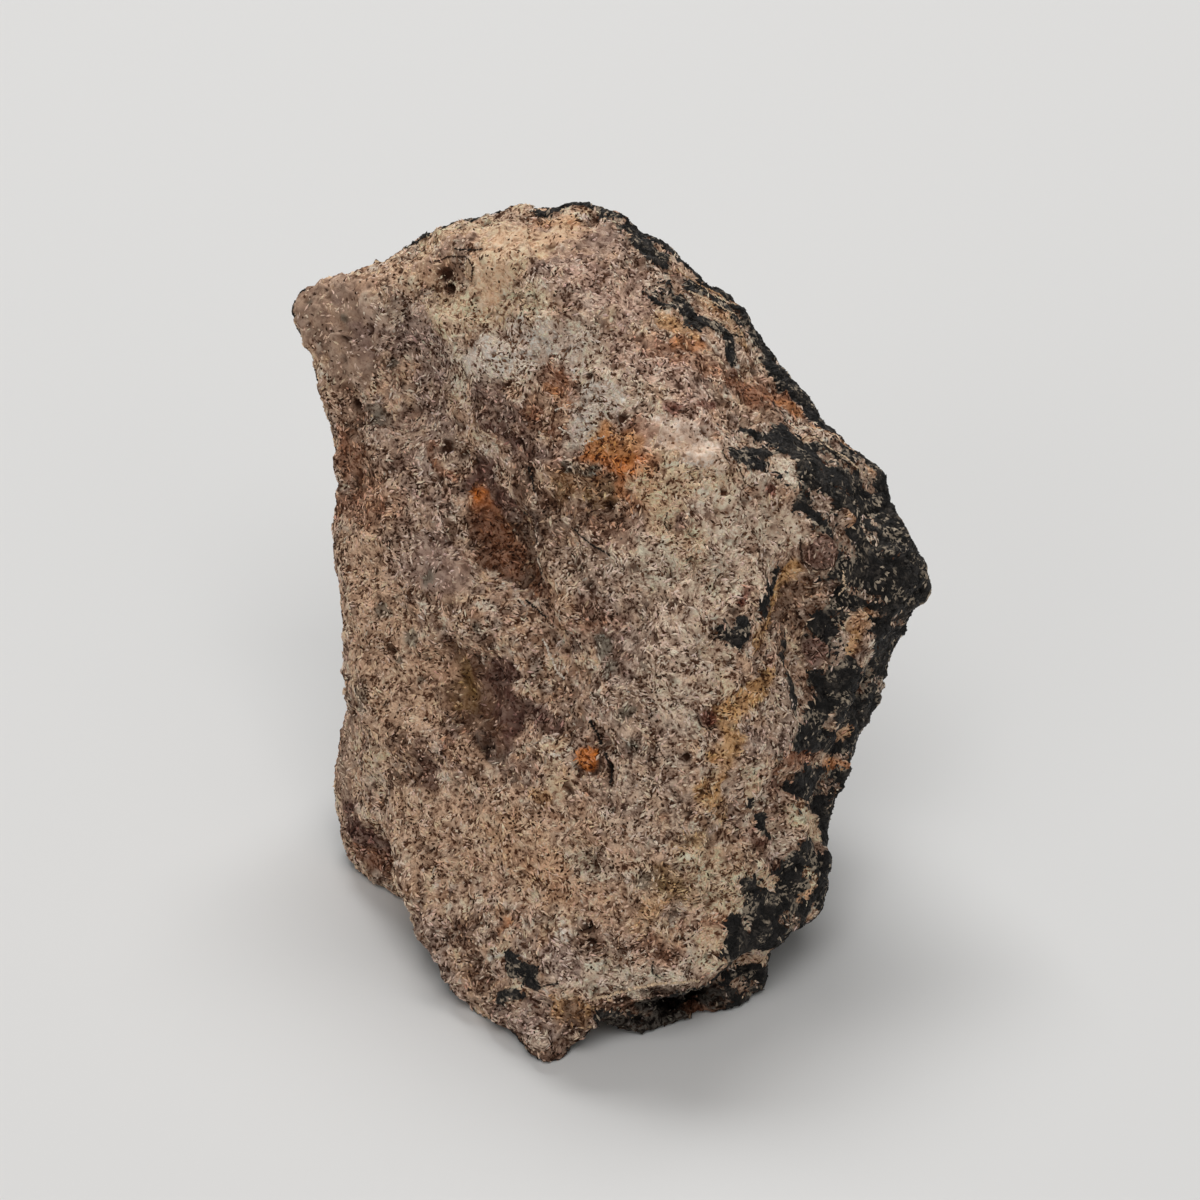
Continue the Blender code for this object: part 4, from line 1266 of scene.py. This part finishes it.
def lay_pale_flakes(surface):
    """Pale fibrous flakes of the broken face, in threads with bare gaps between."""
    threads = waves(surface.points, FLAKE_THREADS)
    liking = smooth_step(0.5 + 0.9 * threads) * (1 - surface.crust) ** 2 * (1 - 0.8 * surface.hollow)
    liking *= mostly_in_front(surface, BEHIND, DENSER_FROM)
    paleness = np.clip(surface.stain.mean(axis=1) / FULLY_PALE, 0, 1)
    liking *= (0.45 + 0.55 * paleness) * (1 - 0.75 * surface.smooth)
    scatter = Scatter(surface, FLAKES, liking)
    shades = surface.stain[scatter.corner]
    strewn = (0.3 + 0.7 * paleness[scatter.corner] ** 2) * (1 - surface.smooth[scatter.corner])
    rusty = smooth_step((RUST_BELOW - shades.min(axis=1) / shades.max(axis=1)) / RUST_FADE)[:, None]
    chalky = (scatter.random.random(len(shades)) ** 2 * MOST_CHALK * strewn)[:, None]
    chalky = chalky * (1 - CHALK_LOST_ON_RUST * rusty)
    shades = shades * (FLAKE_GAIN - RUSTY_LOSS * rusty) * (1 - chalky)
    shades = shades + np.array(CHALK) * CHALK_GAIN * chalky
    shades = shades * (1 + COLOUR_STRAY * scatter.random.normal(size=shades.shape))
    shine = scatter.between(FLAKE_SHADES)[:, None]
    shine = shine + scatter.between(RUSTY_SHADES)[:, None] * rusty
    shades = shades * shine
    brightest = np.maximum(shades.max(axis=1) / BRIGHTEST_FLAKE, 1)[:, None]
    shades = np.clip(shades, DARKEST_FLAKE, None) / brightest
    lay_flakes("pale_flakes", scatter.points, scatter.laid_along(FLAKES.tilt), scatter.sizes, shades,
               grain_finish(*FLAKE_FINISH))


def lay_dark_specks(surface):
    """Small opaque grains and pits of the broken face, flush with it."""
    clumps = waves(surface.points, SPECK_CLUMPS)
    liking = smooth_step(0.35 + 0.6 * clumps) * (1 - surface.crust) ** 2 * (1 - 0.85 * surface.smooth)
    liking *= mostly_in_front(surface, BEHIND, DENSER_FROM)
    scatter = Scatter(surface, SPECKS, liking)
    shades = surface.stain[scatter.corner] * SPECK_TINT + BROWN_IN_SPECKS * np.array(DARK_BROWN)
    shades = shades * scatter.between(SPECK_SHADES)[:, None]
    lay_flakes("dark_specks", scatter.points, scatter.laid_along(SPECKS.tilt), scatter.sizes, shades,
               grain_finish(*SPECK_FINISH))


def lay_crust_scales(surface):
    """Small black scales and blisters of the fused crust, and pale dust caught between them."""
    clumps = waves(surface.points, DUST_CLUMPS)
    liking = surface.crust * mostly_in_front(surface, SCALES_BEHIND, SCALES_DENSER_FROM)
    scatter = Scatter(surface, SCALES, liking)
    draw = scatter.random.random(len(scatter.points))
    dusted = smooth_step(1.2 * clumps[scatter.corner]) * MOST_DUST
    worn = smooth_step(0.15 + 0.9 * waves(scatter.points, SCALE_WEAR))[:, None]
    black = np.array(SOOT) + (np.array(WORN_CRUST) - np.array(SOOT)) * worn
    shades = np.where((draw < dusted)[:, None], np.array(DUST), black)
    shades = shades * scatter.between(SCALE_SHADES)[:, None]
    lay_flakes("crust_scales", scatter.points, scatter.laid_along(SCALES.tilt), scatter.sizes, shades,
               grain_finish(*SCALE_FINISH))


def lay_fine_lines(surface):
    """Cracks, thin rims and threads as chains of slivers on the finished surface."""
    skin = surface.tree()
    chance = np.random.default_rng(LINE_SEED)

    def drawn(limits):
        least, extra = limits
        return least + extra * chance.random()

    places, axes, sizes, shades = [], [], [], []
    for colour, pixels, half_width in FINE_LINES:
        for start, end in zip(pixels, pixels[1:]):
            start, end = np.array(start, float), np.array(end, float)
            steps = max(2, round(np.linalg.norm(end - start) / PIXELS_PER_MM / LINE_STEP))
            line = [on_stone(skin, start + (end - start) * step / steps) for step in range(steps + 1)]
            for near, far in zip(line, line[1:]):
                up = np.array(skin.find_nearest(Vector(near) * MM)[1])
                along = far - near - up * ((far - near) @ up)
                along = along / max(np.linalg.norm(along), TINY)
                places.append(near + up * LINE_RISE + chance.normal(size=3) * LINE_WANDER)
                axes.append((along, np.cross(up, along), up))
                width = half_width * drawn(SLIVER_WIDTHS)
                sizes.append((LINE_STEP * SLIVER_LENGTH, width, half_width * SLIVER_THICKNESS))
                shades.append(np.array(colour) * drawn(SLIVER_LIGHTNESS))
    axes = tuple(np.array(axes).transpose(1, 0, 2))
    sizes = tuple(np.array(sizes).T)
    lay_flakes("fine_lines", np.array(places), axes, sizes, np.array(shades), grain_finish(*LINE_FINISH))


def make_floor():
    """A plain pale floor."""
    form = bmesh.new()
    bmesh.ops.create_grid(form, x_segments=1, y_segments=1, size=FLOOR_REACH)
    mesh = bpy.data.meshes.new("floor")
    form.to_mesh(mesh)
    form.free()
    floor = bpy.data.objects.new("floor", mesh)
    bpy.context.scene.collection.objects.link(floor)
    material = bpy.data.materials.new("pale_floor")
    material.use_nodes = True
    shader = material.node_tree.nodes["Principled BSDF"]
    shader.inputs["Base Color"].default_value = (*FLOOR_COLOUR, 1)
    shader.inputs["Roughness"].default_value = FLOOR_ROUGHNESS
    mesh.materials.append(material)


def area_light(name, place, width, height, power):
    """A soft oblong light in metres that shines at the stone's middle."""
    data = bpy.data.lights.new(name, "AREA")
    data.shape = "RECTANGLE"
    data.size = width
    data.size_y = height
    data.energy = power
    light = bpy.data.objects.new(name, data)
    light.location = place
    light.rotation_euler = (AIM - Vector(place)).to_track_quat("-Z", "Y").to_euler()
    bpy.context.scene.collection.objects.link(light)


def light_studio():
    """The lights, and a pale room around them."""
    for name, place, width, height, power in LIGHTS:
        area_light(name, place, width, height, power)
    world = bpy.data.worlds.new("pale_room")
    bpy.context.scene.world = world
    world.use_nodes = True
    background = world.node_tree.nodes["Background"]
    background.inputs["Color"].default_value = (*ROOM_COLOUR, 1)
    background.inputs["Strength"].default_value = ROOM_BRIGHTNESS
    bpy.context.scene.view_settings.view_transform = "Standard"


noise.seed_set(NOISE_SEED)
make_camera()
make_stone()
make_floor()
light_studio()
